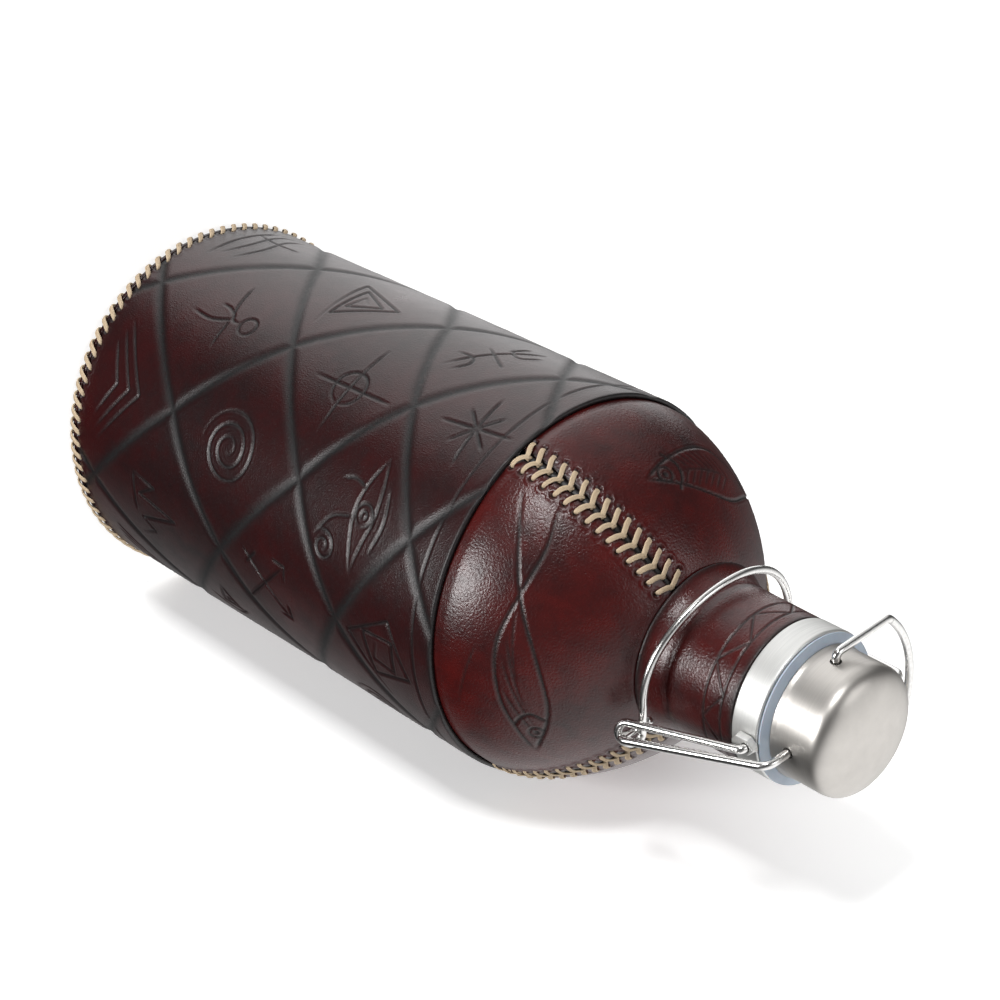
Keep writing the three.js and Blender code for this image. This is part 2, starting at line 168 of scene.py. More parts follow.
def directions(points):
    """The unit direction of a path at each of its points."""
    run = np.gradient(points, axis=0)
    return run / np.linalg.norm(run, axis=1, keepdims=True)


def about_axis(r, z, angle):
    """Points at radii, heights and angles in radians about the bottle's axis."""
    return np.stack([r * np.cos(angle), r * np.sin(angle), z + 0 * angle], -1)


def rounded(corners, closed=True, steps=6):
    """Corners are (x, y, fillet radius) or (x, y, z, fillet radius); each fillet becomes a curve."""
    points = []
    last = len(corners) - 1
    for i, corner in enumerate(corners):
        here, fillet = np.array(corner[:-1], float), corner[-1]
        if fillet == 0 or (not closed and i in (0, last)):
            points.append(here)
            continue
        back = np.array(corners[i - 1][:-1], float) - here
        ahead = np.array(corners[(i + 1) % len(corners)][:-1], float) - here
        back /= np.linalg.norm(back)
        ahead /= np.linalg.norm(ahead)
        half = math.acos(np.clip(back @ ahead, -1, 1)) / 2
        reach = fillet / math.tan(half)
        for t in np.linspace(0, 1, steps + 1):
            swing = (1 - t) ** 2 * back * reach + t**2 * ahead * reach
            points.append(here + swing)
    return np.array(points)


def dense(points, step, closed=False):
    """Adds points on long edges, so that smooth shading bends only at the rounded edges."""
    points = [np.asarray(p, float) for p in points]
    if closed:
        points.append(points[0])
    out = []
    for a, b in zip(points, points[1:]):
        count = max(1, math.ceil(np.linalg.norm(b - a) / step))
        out += [a + (b - a) * k / count for k in range(count)]
    if not closed:
        out.append(points[-1])
    return np.array(out)


def smooth(points, steps=10):
    """A Catmull-Rom curve through a few points."""
    p = np.array(points, float)
    p = np.vstack([2 * p[0] - p[1], p, 2 * p[-1] - p[-2]])
    out = []
    for a, b, c, d in zip(p, p[1:], p[2:], p[3:]):
        for t in np.arange(steps) / steps:
            square, cube = 2 * a - 5 * b + 4 * c - d, 3 * b - a - 3 * c + d
            out.append(0.5 * (2 * b + (c - a) * t + square * t**2 + cube * t**3))
    out.append(p[-2])
    return np.array(out)


def turned(name, outline, material, body, stands_for, segments=144, step=1.0):
    """Turns a closed outline of (radius, height), or one from axis to axis, about the bottle's axis."""
    on_axis = outline[0][0] == 0
    outline = dense(outline, step, closed=not on_axis)
    angle = np.arange(segments) * 2 * math.pi / segments
    points = about_axis(outline[:, :1], outline[:, 1:], angle)
    faces = grid_faces(len(outline), segments, not on_axis, True)
    return new_piece(name, points.reshape(-1, 3), faces, material, body, stands_for, weld=on_axis)


def tube(points, ups, width, thick, sides=20):
    """Points and faces of a rod with an oval section along points: thick along ups, width across."""
    run = directions(points)
    ups = ups - (ups * run).sum(1, keepdims=True) * run
    ups /= np.linalg.norm(ups, axis=1, keepdims=True)
    across = np.cross(run, ups)
    width, thick = np.broadcast_to(width, len(points)), np.broadcast_to(thick, len(points))
    tip, narrowing = 0.35, 0.72  # each end stands out by a share of the half thickness, and narrows
    rings = [(0, -tip, narrowing), *((i, 0, 1) for i in range(len(points))), (-1, tip, narrowing)]
    angle = np.arange(sides) * 2 * math.pi / sides
    grid = []
    for i, stands_out, scale in rings:
        shift = stands_out * thick[i] / 2
        side = across[i] * (width[i] / 2 * scale) * np.cos(angle)[:, None]
        lift = ups[i] * (thick[i] / 2 * scale) * np.sin(angle)[:, None]
        grid.append(points[i] + run[i] * shift + side + lift)
    rows = len(grid)
    faces = grid_faces(rows, sides, False, True)
    faces += [list(range(sides)), list(range((rows - 1) * sides, rows * sides))]
    return np.concatenate(grid), faces


def carried_ups(points):
    """Sideways directions that follow a path without twisting."""
    run = directions(points)
    up = np.cross(run[0], (0.3, 0.5, 0.81))
    ups = []
    for direction in run:
        up = up - (up @ direction) * direction
        up /= np.linalg.norm(up)
        ups.append(up)
    return np.array(ups)


def wire_piece(name, path, body, stands_for):
    path = dense(path, 0.9)
    points, faces = tube(path, carried_ups(path), 2 * WIRE_R, 2 * WIRE_R, sides=24)
    return new_piece(name, points, faces, WIRE, body, [stands_for])


class Outline:
    """A round piece's outside as (radius, height) points from the foot up, read by distance along it."""

    def __init__(self, points, step=0.4):
        self.points = dense(points, step)
        leg = np.linalg.norm(np.diff(self.points, axis=0), axis=1)
        self.distance = np.concatenate([[0], np.cumsum(leg)])
        self.length = self.distance[-1]
        run = directions(self.points)
        self.normal = np.stack([run[:, 1], -run[:, 0]], -1)

    def radius(self, along):
        return np.interp(along, self.distance, self.points[:, 0])

    def along_at(self, height):
        return np.interp(height, self.points[:, 1], self.distance)

    def place(self, along, azimuth, lift):
        """Points in space at a distance along, an azimuth in radians and a height off the surface."""
        r = self.radius(along)
        z = np.interp(along, self.distance, self.points[:, 1])
        nr = np.interp(along, self.distance, self.normal[:, 0])
        nz = np.interp(along, self.distance, self.normal[:, 1])
        return about_axis(r + nr * lift, z + nz * lift, azimuth)

    def up(self, along, azimuth):
        return self.place(along, azimuth, 1.0) - self.place(along, azimuth, 0.0)


# ---- Materials ----

def node(tree, kind, *links, **settings):
    """A node with its inputs linked or set in order, and its settings by name."""
    made = tree.nodes.new("ShaderNode" + kind)
    for name, value in settings.items():
        setattr(made, name, value)
    for i, value in enumerate(links):
        feed(tree, made.inputs[i], value)
    return made


def feed(tree, target, value):
    """Links a node's first output or a socket to an input, or sets the input to a plain value."""
    if isinstance(value, bpy.types.Node):
        value = value.outputs[0]
    if isinstance(value, bpy.types.NodeSocket):
        tree.links.new(value, target)
    elif value is not None:
        target.default_value = value


def new_material(name, **values):
    """A Principled material with its plain values set on the shader's own sockets."""
    material = bpy.data.materials.new(name)
    material.use_nodes = True
    tree = material.node_tree
    shader = tree.nodes["Principled BSDF"]
    for key, value in values.items():
        shader.inputs[key.replace("_", " ")].default_value = value
    return material, tree, shader


def noise(tree, scale, detail, roughness, stretch=(1, 1, 1), vector=None):
    """Noise in the piece's own coordinates, in features per metre."""
    mapping = node(tree, "Mapping", object_place(tree) if vector is None else vector)
    mapping.inputs["Scale"].default_value = stretch
    made = node(tree, "TexNoise", mapping)
    made.inputs["Scale"].default_value = scale
    made.inputs["Detail"].default_value = detail
    made.inputs["Roughness"].default_value = roughness
    return made


def ramp(tree, value, stops):
    """A colour ramp from its two (position, colour or grey) stops."""
    made = node(tree, "ValToRGB", value)
    for element, (position, colour) in zip(made.color_ramp.elements, stops):
        element.position = position
        element.color = (*colour, 1) if hasattr(colour, "__len__") else (colour, colour, colour, 1)
    return made


def mix(tree, share, a, b):
    """Mixes two colours by a share."""
    made = tree.nodes.new("ShaderNodeMix")
    made.data_type = "RGBA"
    for key, kind, value in (("Factor", "VALUE", share), ("A", "RGBA", a), ("B", "RGBA", b)):
        target = next(s for s in made.inputs if s.name == key and s.type == kind)
        if isinstance(value, tuple) and len(value) == 3:
            value = (*value, 1)
        feed(tree, target, value)
    return made.outputs[2]


def maths(tree, operation, a, b=None, clamp=False):
    return node(tree, "Math", a, b, operation=operation, use_clamp=clamp)


def attribute(tree, name):
    return node(tree, "Attribute", attribute_name=name)


def object_place(tree):
    return node(tree, "TexCoord").outputs["Object"]


def add_bump(tree, shader, height, strength, distance):
    made = node(tree, "Bump")
    made.inputs["Strength"].default_value = strength
    made.inputs["Distance"].default_value = distance
    feed(tree, made.inputs["Height"], height)
    feed(tree, shader.inputs["Normal"], made)


def blend_of(tree, a, share_a, b, share_b):
    """Adds two values by their shares."""
    made = maths(tree, "MULTIPLY_ADD", a, share_a)
    feed(tree, made.inputs[2], maths(tree, "MULTIPLY", b, share_b))
    return made


def leather(name, deep, warm, burnt, grain_size, grain_depth, roughness):
    """Waxed leather: blotchy dye, a pebbled grain, darker and rougher in the tooling and at cut edges, and
    darkened in the stitch holes as painted shade.
    """
    material, tree, shader = new_material(name, Specular_IOR_Level=0.5)
    blend = blend_of(tree, noise(tree, 160, 3, 0.6), 0.35, noise(tree, 22, 5, 0.6), 0.75)
    dye = ramp(tree, blend, [(0.36, deep), (0.72, warm)])
    tooled_and_hole_shade = attribute(tree, "tooled_and_hole_shade").outputs["Fac"]
    edge = attribute(tree, "burnished").outputs["Fac"]
    worn = ramp(tree, noise(tree, 900, 5, 0.7), [(0.5, 1.0), (0.7, 0.45)])
    dark = maths(tree, "MULTIPLY", maths(tree, "MAXIMUM", tooled_and_hole_shade, edge, clamp=True), worn)
    feed(tree, shader.inputs["Base Color"], mix(tree, dark, dye, burnt))
    wander = noise(tree, 300, 2, 0.5).outputs["Color"]
    sideways = node(tree, "VectorMath", wander, (0.0012,) * 3, operation="MULTIPLY")
    shifted = node(tree, "VectorMath", object_place(tree), sideways, operation="ADD")
    pebbles = node(tree, "TexVoronoi", shifted, feature="DISTANCE_TO_EDGE")
    pebbles.inputs["Scale"].default_value = 1 / grain_size
    crease = ramp(tree, pebbles.outputs["Distance"], [(0.0, 0.0), (0.35, 1.0)])
    pores = noise(tree, 1.6 / grain_size, 4, 0.65)
    add_bump(tree, shader, blend_of(tree, pores, 0.8, crease, 0.35), 0.55, grain_depth)
    gloss = ramp(tree, blend, [(0.3, roughness + 0.06), (0.75, roughness - 0.05)])
    rough = maths(tree, "ADD", gloss, maths(tree, "MULTIPLY", dark, 0.2), clamp=True)
    feed(tree, shader.inputs["Roughness"], rough)
    return material


def cord_material(name):
    """Flat waxed lace: fibres along it, a darker worn middle, and painted shade that darkens its ends where
    it enters the leather.
    """
    material, tree, shader = new_material(name, Specular_IOR_Level=0.25)
    strand = attribute(tree, "strand").outputs["Vector"]
    fibres = noise(tree, 1.0, 4, 0.65, (3, 22, 1), strand)
    patches = noise(tree, 1.0, 3, 0.6, (5, 4, 1), strand)
    tone = ramp(tree, fibres, [(0.3, (0.46, 0.34, 0.22)), (0.7, (0.76, 0.62, 0.44))])
    worn = maths(tree, "MULTIPLY", attribute(tree, "middle").outputs["Fac"], patches, clamp=True)
    colour = mix(tree, worn, tone, (0.33, 0.235, 0.145))
    # painted shade: each cord's ends, where it dives into the leather, are darkened towards near black
    root = attribute(tree, "root").outputs["Fac"]
    feed(tree, shader.inputs["Base Color"], mix(tree, root, colour, (0.05, 0.028, 0.016)))
    feed(tree, shader.inputs["Roughness"], ramp(tree, fibres, [(0.2, 0.8), (0.8, 0.6)]))
    add_bump(tree, shader, fibres, 0.7, 0.00018)
    return material


def metal(name, colour, dull, bright, stretch, depth, level=1.0):
    """Steel with fine marks drawn out by stretch. Above a level in metres they don't change with height."""
    material, tree, shader = new_material(name, Metallic=1.0)
    place = node(tree, "SeparateXYZ", object_place(tree))
    height = maths(tree, "MINIMUM", place.outputs["Z"], level)
    held = node(tree, "CombineXYZ", place.outputs["X"], place.outputs["Y"], height)
    lines = noise(tree, 1.0, 5, 0.7, stretch, held)
    both = blend_of(tree, lines, 0.7, noise(tree, 60, 3, 0.5), 0.3)
    pale = tuple(min(1.0, c * 1.08) for c in colour)
    dim = tuple(c * 0.88 for c in colour)
    feed(tree, shader.inputs["Base Color"], ramp(tree, both, [(0.3, dim), (0.7, pale)]))
    feed(tree, shader.inputs["Roughness"], ramp(tree, both, [(0.3, dull), (0.7, bright)]))
    add_bump(tree, shader, lines, 0.3, depth)
    return material


def soft_plastic(name, dark, light, roughness, translucency):
    """Moulded silicone or plastic: even, with a faint mottle and soft gloss."""
    material, tree, shader = new_material(name, Subsurface_Weight=translucency, Subsurface_Scale=0.002)
    cloud = noise(tree, 240, 3, 0.5)
    feed(tree, shader.inputs["Base Color"], ramp(tree, cloud, [(0.3, dark), (0.7, light)]))
    gloss = ramp(tree, cloud, [(0.3, roughness + 0.05), (0.7, roughness - 0.05)])
    feed(tree, shader.inputs["Roughness"], gloss)
    add_bump(tree, shader, noise(tree, 2500, 2, 0.5), 0.15, 0.0001)
    return material


SLEEVE_LEATHER = leather(
    "sleeve_leather", deep=(0.006, 0.0014, 0.0018), warm=(0.031, 0.0034, 0.0038),
    burnt=(0.002, 0.0018, 0.0022), grain_size=0.0009, grain_depth=0.00016, roughness=0.32,
)
PANEL_LEATHER = leather(
    "panel_leather", deep=(0.011, 0.0018, 0.0023), warm=(0.080, 0.0068, 0.0060),
    burnt=(0.003, 0.0020, 0.0020), grain_size=0.0012, grain_depth=0.00018, roughness=0.29,
)
BLACK_LEATHER = leather(
    "black_leather", deep=(0.004, 0.004, 0.004), warm=(0.010, 0.009, 0.009),
    burnt=(0.003, 0.003, 0.003), grain_size=0.0010, grain_depth=0.00010, roughness=0.45,
)
LACE = cord_material("waxed_lace")
RING_STEEL = metal("turned_steel", (0.70, 0.70, 0.685), 0.58, 0.46, (60, 60, 3000), 0.00003)
CAP_STEEL = metal("satin_steel", (0.565, 0.54, 0.51), 0.46, 0.38, (45, 45, 2600), 0.000012, CAP_EDGE_Z * MM)
DARK_STEEL = metal("inner_steel", (0.45, 0.44, 0.42), 0.5, 0.35, (60, 60, 1500), 0.00004)
WIRE = metal("polished_wire", (0.78, 0.77, 0.755), 0.30, 0.18, (900, 900, 900), 0.00001)
SILICONE = soft_plastic("silicone", (0.38, 0.445, 0.53), (0.44, 0.505, 0.59), 0.5, 0.1)
PLASTIC = soft_plastic("moulded_plastic", (0.30, 0.30, 0.29), (0.38, 0.38, 0.37), 0.45, 0.0)


# ---- Leather faces with cut marks ----

def edge_spaced(length, step):
    """Distances from 0 to length, close together at both ends so that the edges can be round."""
    near = np.array([0, 0.06, 0.15, 0.28, 0.45, 0.68])  # from an edge, closing up towards it
    count = max(2, round((length - 2) / step))
    return np.concatenate([near, np.linspace(1, length - 1, count), (length - near)[::-1]])


class Skin:
    """One leather piece: a grid of its outside, cut and stamped, closed by a plain inside."""

    def __init__(self, outline, inside, start, end, step=0.55, corner=0.8, edge=1.1, seed=0):
        self.outline = outline
        self.inside = inside
        self.corner = corner
        self.edge = edge
        self.along = edge_spaced(outline.length, step)
        self.radii = outline.radius(self.along)
        widest = self.radii.max()
        span = math.radians(end - start)
        self.start = math.radians(start)
        self.azimuth = self.start + edge_spaced(span * widest, step) / widest
        shape = (len(self.along), len(self.azimuth))
        self.groove = np.zeros(shape)
        self.ridge = np.zeros(shape)
        self.tone = np.zeros(shape)
        self.wave = self.waviness(np.random.default_rng(seed))

    def waviness(self, random):
        """Slow unevenness of hand-worked leather, at most a quarter of a millimetre."""
        total = np.zeros(self.groove.shape)
        for _ in range(7):
            turns, climbs = random.integers(2, 9), random.uniform(-0.06, 0.06)
            phase = random.uniform(0, 2 * math.pi)
            total += np.sin(turns * self.azimuth[None, :] + climbs * self.along[:, None] + phase)
        return total * 0.035

    def cut(self, points, depth, width, taper=(0.0, 0.0), tone=1.0, lip=0.16):
        """Presses a line of (azimuth in degrees, distance along) points, with a lip beside it."""
        points = np.array(points, float)
        points[:, 0] = self.start + (np.radians(points[:, 0]) - self.start + 0.2) % (2 * math.pi) - 0.2
        legs = []
        for a, b in zip(points, points[1:]):
            r = float(self.outline.radius((a[1] + b[1]) / 2))
            legs.append((a, np.array([(b[0] - a[0]) * r, b[1] - a[1]]), r))
        total = sum(np.hypot(*leg[1]) for leg in legs)
        travelled = 0.0
        reach = 4.5 * width
        for a, step, r in legs:
            length = np.hypot(*step)
            if length < 1e-6 or abs(step[0]) > 60:
                continue
            low, high = sorted([a[1], a[1] + step[1]])
            left, right = sorted([a[0], a[0] + step[0] / r])
            rows = slice(*np.searchsorted(self.along, [low - reach, high + reach]))
            cols = slice(*np.searchsorted(self.azimuth, [left - reach / r, right + reach / r]))
            x = (self.azimuth[None, cols] - a[0]) * r
            y = self.along[rows, None] - a[1]
            t = np.clip((x * step[0] + y * step[1]) / length**2, 0, 1)
            away = np.hypot(x - t * step[0], y - t * step[1])
            share = (travelled + t * length) / total
            force = np.ones_like(share)
            if taper[0]:
                force *= 0.3 + 0.7 * np.clip(share / taper[0], 0, 1)
            if taper[1]:
                force *= 0.15 + 0.85 * np.clip((1 - share) / taper[1], 0, 1)
            dip = np.exp(-((away / width) ** 2)) * force
            lift = np.exp(-(((away - 2.1 * width) / (0.75 * width)) ** 2)) * force
            self.groove[rows, cols] = np.maximum(self.groove[rows, cols], dip * depth)
            self.ridge[rows, cols] = np.maximum(self.ridge[rows, cols], lift * depth * lip)
            shade = np.exp(-((away / (1.25 * width)) ** 2)) * force * tone
            self.tone[rows, cols] = np.maximum(self.tone[rows, cols], shade)
            travelled += length

    def hole(self, azimuth, along, radius=0.9, depth=1.0):
        """A punched stitch hole with a swollen rim, painted dark inside as painted shade."""
        degree = math.degrees(0.05 / self.outline.radius(along))
        # painted shade: the full tone darkens the shallow dip to stand for the shade inside a punched hole
        self.cut([(azimuth, along), (azimuth + degree, along)], depth, radius * 0.8, tone=1.0, lip=0.3)

    def stamp(self, lines, azimuth, along, depth=0.55, width=0.44, taper=(0.12, 0.2), size=1.0):
        """Cuts a mark drawn in millimetres round its own centre."""
        r = float(self.outline.radius(along))
        for line in lines:
            x, y = np.array(line, float).T * size
            self.cut(np.stack([azimuth + np.degrees(x / r), along + y], -1), depth, width, taper)

    def cut_round(self, along, step, depth, width, tone):
        """Cuts a line right round, in steps of whole degrees from the back seam to the back seam."""
        for start in range(BACK_SEAM - 355, BACK_SEAM - 1, step):
            self.cut([(start, along), (start + step, along)], depth, width, tone=tone)

    def seam_holes(self, along, radius):
        """A stitch hole on each side of the back seam."""
        out = math.degrees(LACE_HOLE_OUT / radius)
        self.hole(BACK_SEAM - out, along)
        self.hole(BACK_SEAM - 360 + out, along)

    def build(self, name, material, stands_for):
        from_side = np.minimum(self.azimuth - self.azimuth[0], self.azimuth[-1] - self.azimuth)
        from_side = from_side[None, :] * self.radii[:, None]
        from_end = np.minimum(self.along, self.outline.length - self.along)[:, None]
        near = np.minimum(from_side, from_end)
        inset = np.clip(1 - near / self.corner, 0, 1)
        drop = self.corner * (1 - np.sqrt(np.clip(1 - inset**2, 0, 1)))
        calm = np.clip(near / 3.0, 0, 1)
        deepest = max(self.groove.max(), 1e-6)
        lips = self.ridge * (1 - self.groove / deepest)
        lift = self.wave * calm - self.groove * np.clip(near / 0.5, 0, 1) + lips - drop
        outer = self.outline.place(self.along[:, None], self.azimuth[None, :], lift)
        back = about_axis(self.inside[:, :1], self.inside[:, 1:], self.azimuth)
        grid = np.concatenate([outer, back])
        rows, cols = grid.shape[:2]
        faces = grid_faces(rows, cols, True, False)
        faces += [list(range(0, rows * cols, cols)), list(range(cols - 1, rows * cols, cols))]
        piece = new_piece(name, grid.reshape(-1, 3), faces, material, "bottle", stands_for)
        plain = np.ones((len(self.inside), cols))
        # this value holds the tooling's darkening together with the painted shade of the stitch holes
        set_value(piece, "tooled_and_hole_shade", np.concatenate([self.tone, plain]))
        edge = np.exp(-((near / self.edge) ** 2)) * 0.95
        set_value(piece, "burnished", np.concatenate([edge, plain]))
        return piece


# ---- Marks, each drawn in millimetres round its own centre, x to the right and y up ----

def ring(radius, x=0.0, y=0.0):
    angle = np.radians(np.linspace(0, 360, 25))
    return np.stack([x + radius * np.cos(angle), y + radius * np.sin(angle)], -1)


def star():
    rays = [((14, 9.5)[k % 2], math.radians(8 + 45 * k)) for k in range(8)]
    return [[(0, 0), (length * math.cos(a), length * math.sin(a))] for length, a in rays]


def spiral(turns, inner, outer, corners=0, turn=0.0):
    """A round spiral, or one with straight sides when corners are given."""
    steps = corners or 24
    share = np.linspace(0, 1, int(turns * steps) + 1)
    angle = share * turns * 2 * math.pi + math.radians(turn)
    radius = inner + (outer - inner) * share
    return [np.stack([radius * np.cos(angle), radius * np.sin(angle)], -1)]


def wheel():
    return [ring(6.3), [(-18, 0), (17, 0)], [(-1, 18), (0.5, -16)]]


def arrows():
    return [
        [(11.5, -12), (-10, 11)], [(-10.5, 5), (-10, 11), (-4.5, 10.5)],
        [(-9, -10.5), (10, 11)], [(4.5, 11), (10, 11), (9.5, 6)], [(-9.5, -4), (-3.5, -9.5)],
    ]


def almond():
    upper = smooth([(-19, 0), (-9, 3.6), (0, 4.6), (8, 2.6), (19, -0.5)])
    lower = smooth([(-19, 0), (-9, -3.2), (0, -4.4), (8, -3.0), (19, -0.5)])
    curl = spiral(1.6, 1.0, 5.5, turn=30)[0] + (15, -14)
    return [
        upper, lower, ring(3.6), ring(1.2), smooth([(-10, 6.5), (0, 9), (10, 6.5)]),
        smooth([(2, -5), (5, -13), tuple(curl[-1])]), curl,
        smooth([(-8, -4), (-9, -9), (-7.5, -14)]),
    ]


def fork():
    return [
        [(-17, 5), (13, -10)], [(-16, -1), (-7.5, -2)], smooth([(-12, 8), (-6.5, 5), (-6.5, 1), (-11, -3)]),
        smooth([(5, -11.5), (4.5, -6), (8, -3), (14, -6)]), [(3.5, 6.5), (-4, -7)],
    ]


def figure():
    return [
        ring(3.5, 0.5, 10), smooth([(-14, -4), (-5, -1.5), (0.5, 2), (0.5, 6.5)]), [(1.5, 1), (12, 2)],
        smooth([(-0.5, 2), (-3, -3), (-3.5, -8)]), smooth([(0.5, 2), (3.5, -7), (3, -17)]),
    ]


def peaks():
    top = [(-12, -8), (-9.5, 3.5), (-4.5, -5.5), (-0.5, 14), (5, -5.5), (9, 0), (12.5, -8.5)]
    return [top, [(-12, -8), (3, -8.5)]]


def chevrons():
    sizes = ((22, -8, 11), (18, -9, 5), (13, -10, -2))
    return [[(-half, foot), (0, top), (half, foot)] for half, foot, top in sizes]


def waves():
    rows = [smooth([(x, base + bump * math.sin(x / 5.5)) for x in range(-13, 22, 4)])
            for base, bump in ((4.5, 2.2), (-2, 1.6))]
    return rows + [smooth([(-1, 14), (0, 3), (-1.5, -8)]), [(-10, -8.5), (22, -6.5)]]


def feather():
    vane = [(-6.5, 0), (3, 5.5), (3, -4), (-6.5, 0)]
    return [vane, ring(1.4, 0.8, 0.8), smooth([(2, 9), (6.5, 2), (5.5, -5), (2, -11)])]


# ---- The sleeve ----

LATTICE_Z = (173.4, 145.5, 120.2, 85.4, 53.1, 12.6)
LATTICE_TURN = 34  # degrees between neighbouring crossings
LATTICE_FIRST = -57  # from FACING
LATTICE_REACH = 178  # from FACING, just short of the seam


def cut_lattice(skin, up):
    """Broad pressed bands that cross in diamonds, from base to top edge and from seam to seam."""
    step_up = LATTICE_Z[0] - LATTICE_Z[1]
    step_down = LATTICE_Z[-2] - LATTICE_Z[-1]
    rows = (LATTICE_Z[0] + step_up, *LATTICE_Z, LATTICE_Z[-1] - step_down)
    for column in range(-3, 7):
        turned_by = LATTICE_FIRST + LATTICE_TURN * column
        start = FACING + turned_by
        for row in range(1 + column % 2, len(rows) - 1, 2):
            z = rows[row]
            for side in (-1, 1):
                room = (LATTICE_REACH - side * turned_by) / LATTICE_TURN
                for target, limit in ((rows[row - 1], SLEEVE_TOP_Z + 3), (rows[row + 1], 0)):
                    share = min(1, room, (limit - z) / (target - z))
                    end = (start + side * LATTICE_TURN * share, up(z + (target - z) * share))
                    skin.cut([(start, up(z)), end], 0.5, 1.65, lip=0.03)


FRONT_MARKS = (  # what is stamped, azimuth from FACING, height
    (star(), -25, 172),
    (fork(), -52, 149),
    (almond(), 11, 152.5),
    (spiral(2.4, 4, 17, 4, 212), 48, 167.5),
    (wheel(), -19, 119),
    (arrows(), 47, 109.5),
    (spiral(2.7, 2, 18, 3, 95), -50, 87),
    (spiral(2.75, 1.5, 13.5), 13, 85),
    (figure(), -22.5, 52.5),
    (feather(), 68, 78.5),
    (peaks(), 46, 46),
    (chevrons(), 12, 23.5),
    (waves(), -61, 21),
)
HIGH_MARKS_Z, LOW_MARKS_Z = (151, 87, 24), (171, 119, 54)
BACK_MARKS = (  # azimuth from FACING, heights, marks from the top down
    (80, HIGH_MARKS_Z, (spiral(2.75, 1.5, 13), None, chevrons())),
    (114, LOW_MARKS_Z, (fork(), figure(), peaks())),
    (148, HIGH_MARKS_Z, (almond(), spiral(2.4, 4, 15, 4, 200), waves())),
    (-90, LOW_MARKS_Z, (arrows(), wheel(), feather())),
    (-124, HIGH_MARKS_Z, (peaks(), spiral(2.7, 2, 16, 3, 95), star())),
    (-155, LOW_MARKS_Z, (wheel(), arrows(), chevrons())),
)


def stamp_sleeve(skin, up):
    """One mark in each diamond: those that the camera faces, then the same marks again round the back."""
    for lines, azimuth, z in FRONT_MARKS:
        skin.stamp(lines, FACING + azimuth, up(z))
    for azimuth, heights, marks in BACK_MARKS:
        for z, lines in zip(heights, marks):
            skin.stamp(lines or (), FACING + azimuth, up(z), size=0.85)


def base_stitch_azimuth(k):
    return k * 360 / BASE_STITCHES - 200


def lace_ends(start, count, pitch):
    """Distances along a seam of its pairs of stitch holes."""
    return [start + k * pitch - LACE_HOLE_BACK for k in range(count)]


def make_sleeve():
    top, lip_z = SLEEVE_TOP_Z, SLEEVE_TOP_Z - LIP_DEPTH
    outline = Outline([(JACKET_R, SLEEVE_LOW_Z), (JACKET_R, top)])
    bore = JACKET_R - SLEEVE_THICK
    lip_r = JACKET_R - LIP_THICK
    lining = [(lip_r, top), (lip_r, top - 0.3), (lip_r, lip_z), (bore, lip_z), (bore, lip_z - 1)]
    lining += [(bore, 90), (bore, SLEEVE_LOW_Z + 1), (bore, SLEEVE_LOW_Z)]
    half_gap = math.degrees(SEAM_GAP / 2 / JACKET_R)
    skin = Skin(outline, np.array(lining), BACK_SEAM + half_gap - 360, BACK_SEAM - half_gap, seed=1)

    def up(z):
        return z - SLEEVE_LOW_Z

    cut_lattice(skin, up)
    stamp_sleeve(skin, up)
    skin.cut_round(up(top - 8), 30, 0.4, 0.42, tone=0.9)
    for k in range(BASE_STITCHES):
        skin.hole(base_stitch_azimuth(k), up(HOLE_Z), 0.8, 0.8)
    for z in lace_ends(*SLEEVE_LACES):
        skin.seam_holes(up(z), JACKET_R)
    return skin.build("sleeve", SLEEVE_LEATHER, ["leather_sleeve"])


# ---- The shoulder ----

def shoulder_curve(steps=60):
    """A quarter of an ellipse, drawn in towards its chord, more so in width than in height."""
    angle = np.linspace(0, math.pi / 2, steps + 1)
    run = np.cos(angle) ** (2 / 1.2)
    rise = np.sin(angle) ** (2 / 1.7)
    r = SHOULDER_TOP_R + (SHOULDER_R - SHOULDER_TOP_R) * run
    z = SLEEVE_TOP_Z + (SHOULDER_TOP_Z - SLEEVE_TOP_Z) * rise
    return np.stack([r, z], -1)


SHOULDER = Outline(shoulder_curve())
HEM_FOOT_Z = SLEEVE_TOP_Z - LIP_DEPTH + 0.6


def panel_outline():
    """The panel's outside: a hem under the sleeve's lip, then the shoulder."""
    hem = [(HEM_R, HEM_FOOT_Z), (HEM_R, SLEEVE_TOP_Z + 0.2)]
    return Outline(hem + list(shoulder_curve()[4:]) + [(NECK_STEEL_R + 3.1, SHOULDER_TOP_Z + 0.1)])


PANEL = panel_outline()
OUTLINE_CUT = dict(depth=0.5, width=0.5)
EYE_CUT = dict(depth=0.45, width=0.42, taper=(0, 0))


class PanelMark:
    """Cuts lines given in shares of a mark's length and half height, from its tail's azimuth on."""

    def __init__(self, skin, start, length, middle_z, height):
        self.skin = skin
        self.start, self.length, self.middle_z, self.height = start, length, middle_z, height

    def at(self, share, up):
        along = PANEL.along_at(self.middle_z + up * self.height)
        return (self.start + self.length * share, float(along))

    def line(self, points, **cut):
        self.skin.cut([self.at(*point) for point in smooth(points)], **OUTLINE_CUT, **cut)

    def stroke(self, points, depth, width, taper, tone):
        self.skin.cut([self.at(*point) for point in points], depth, width, taper, tone)

    def eye(self, share, up, *sizes):
        self.skin.stamp([ring(size) for size in sizes], *self.at(share, up), **EYE_CUT)


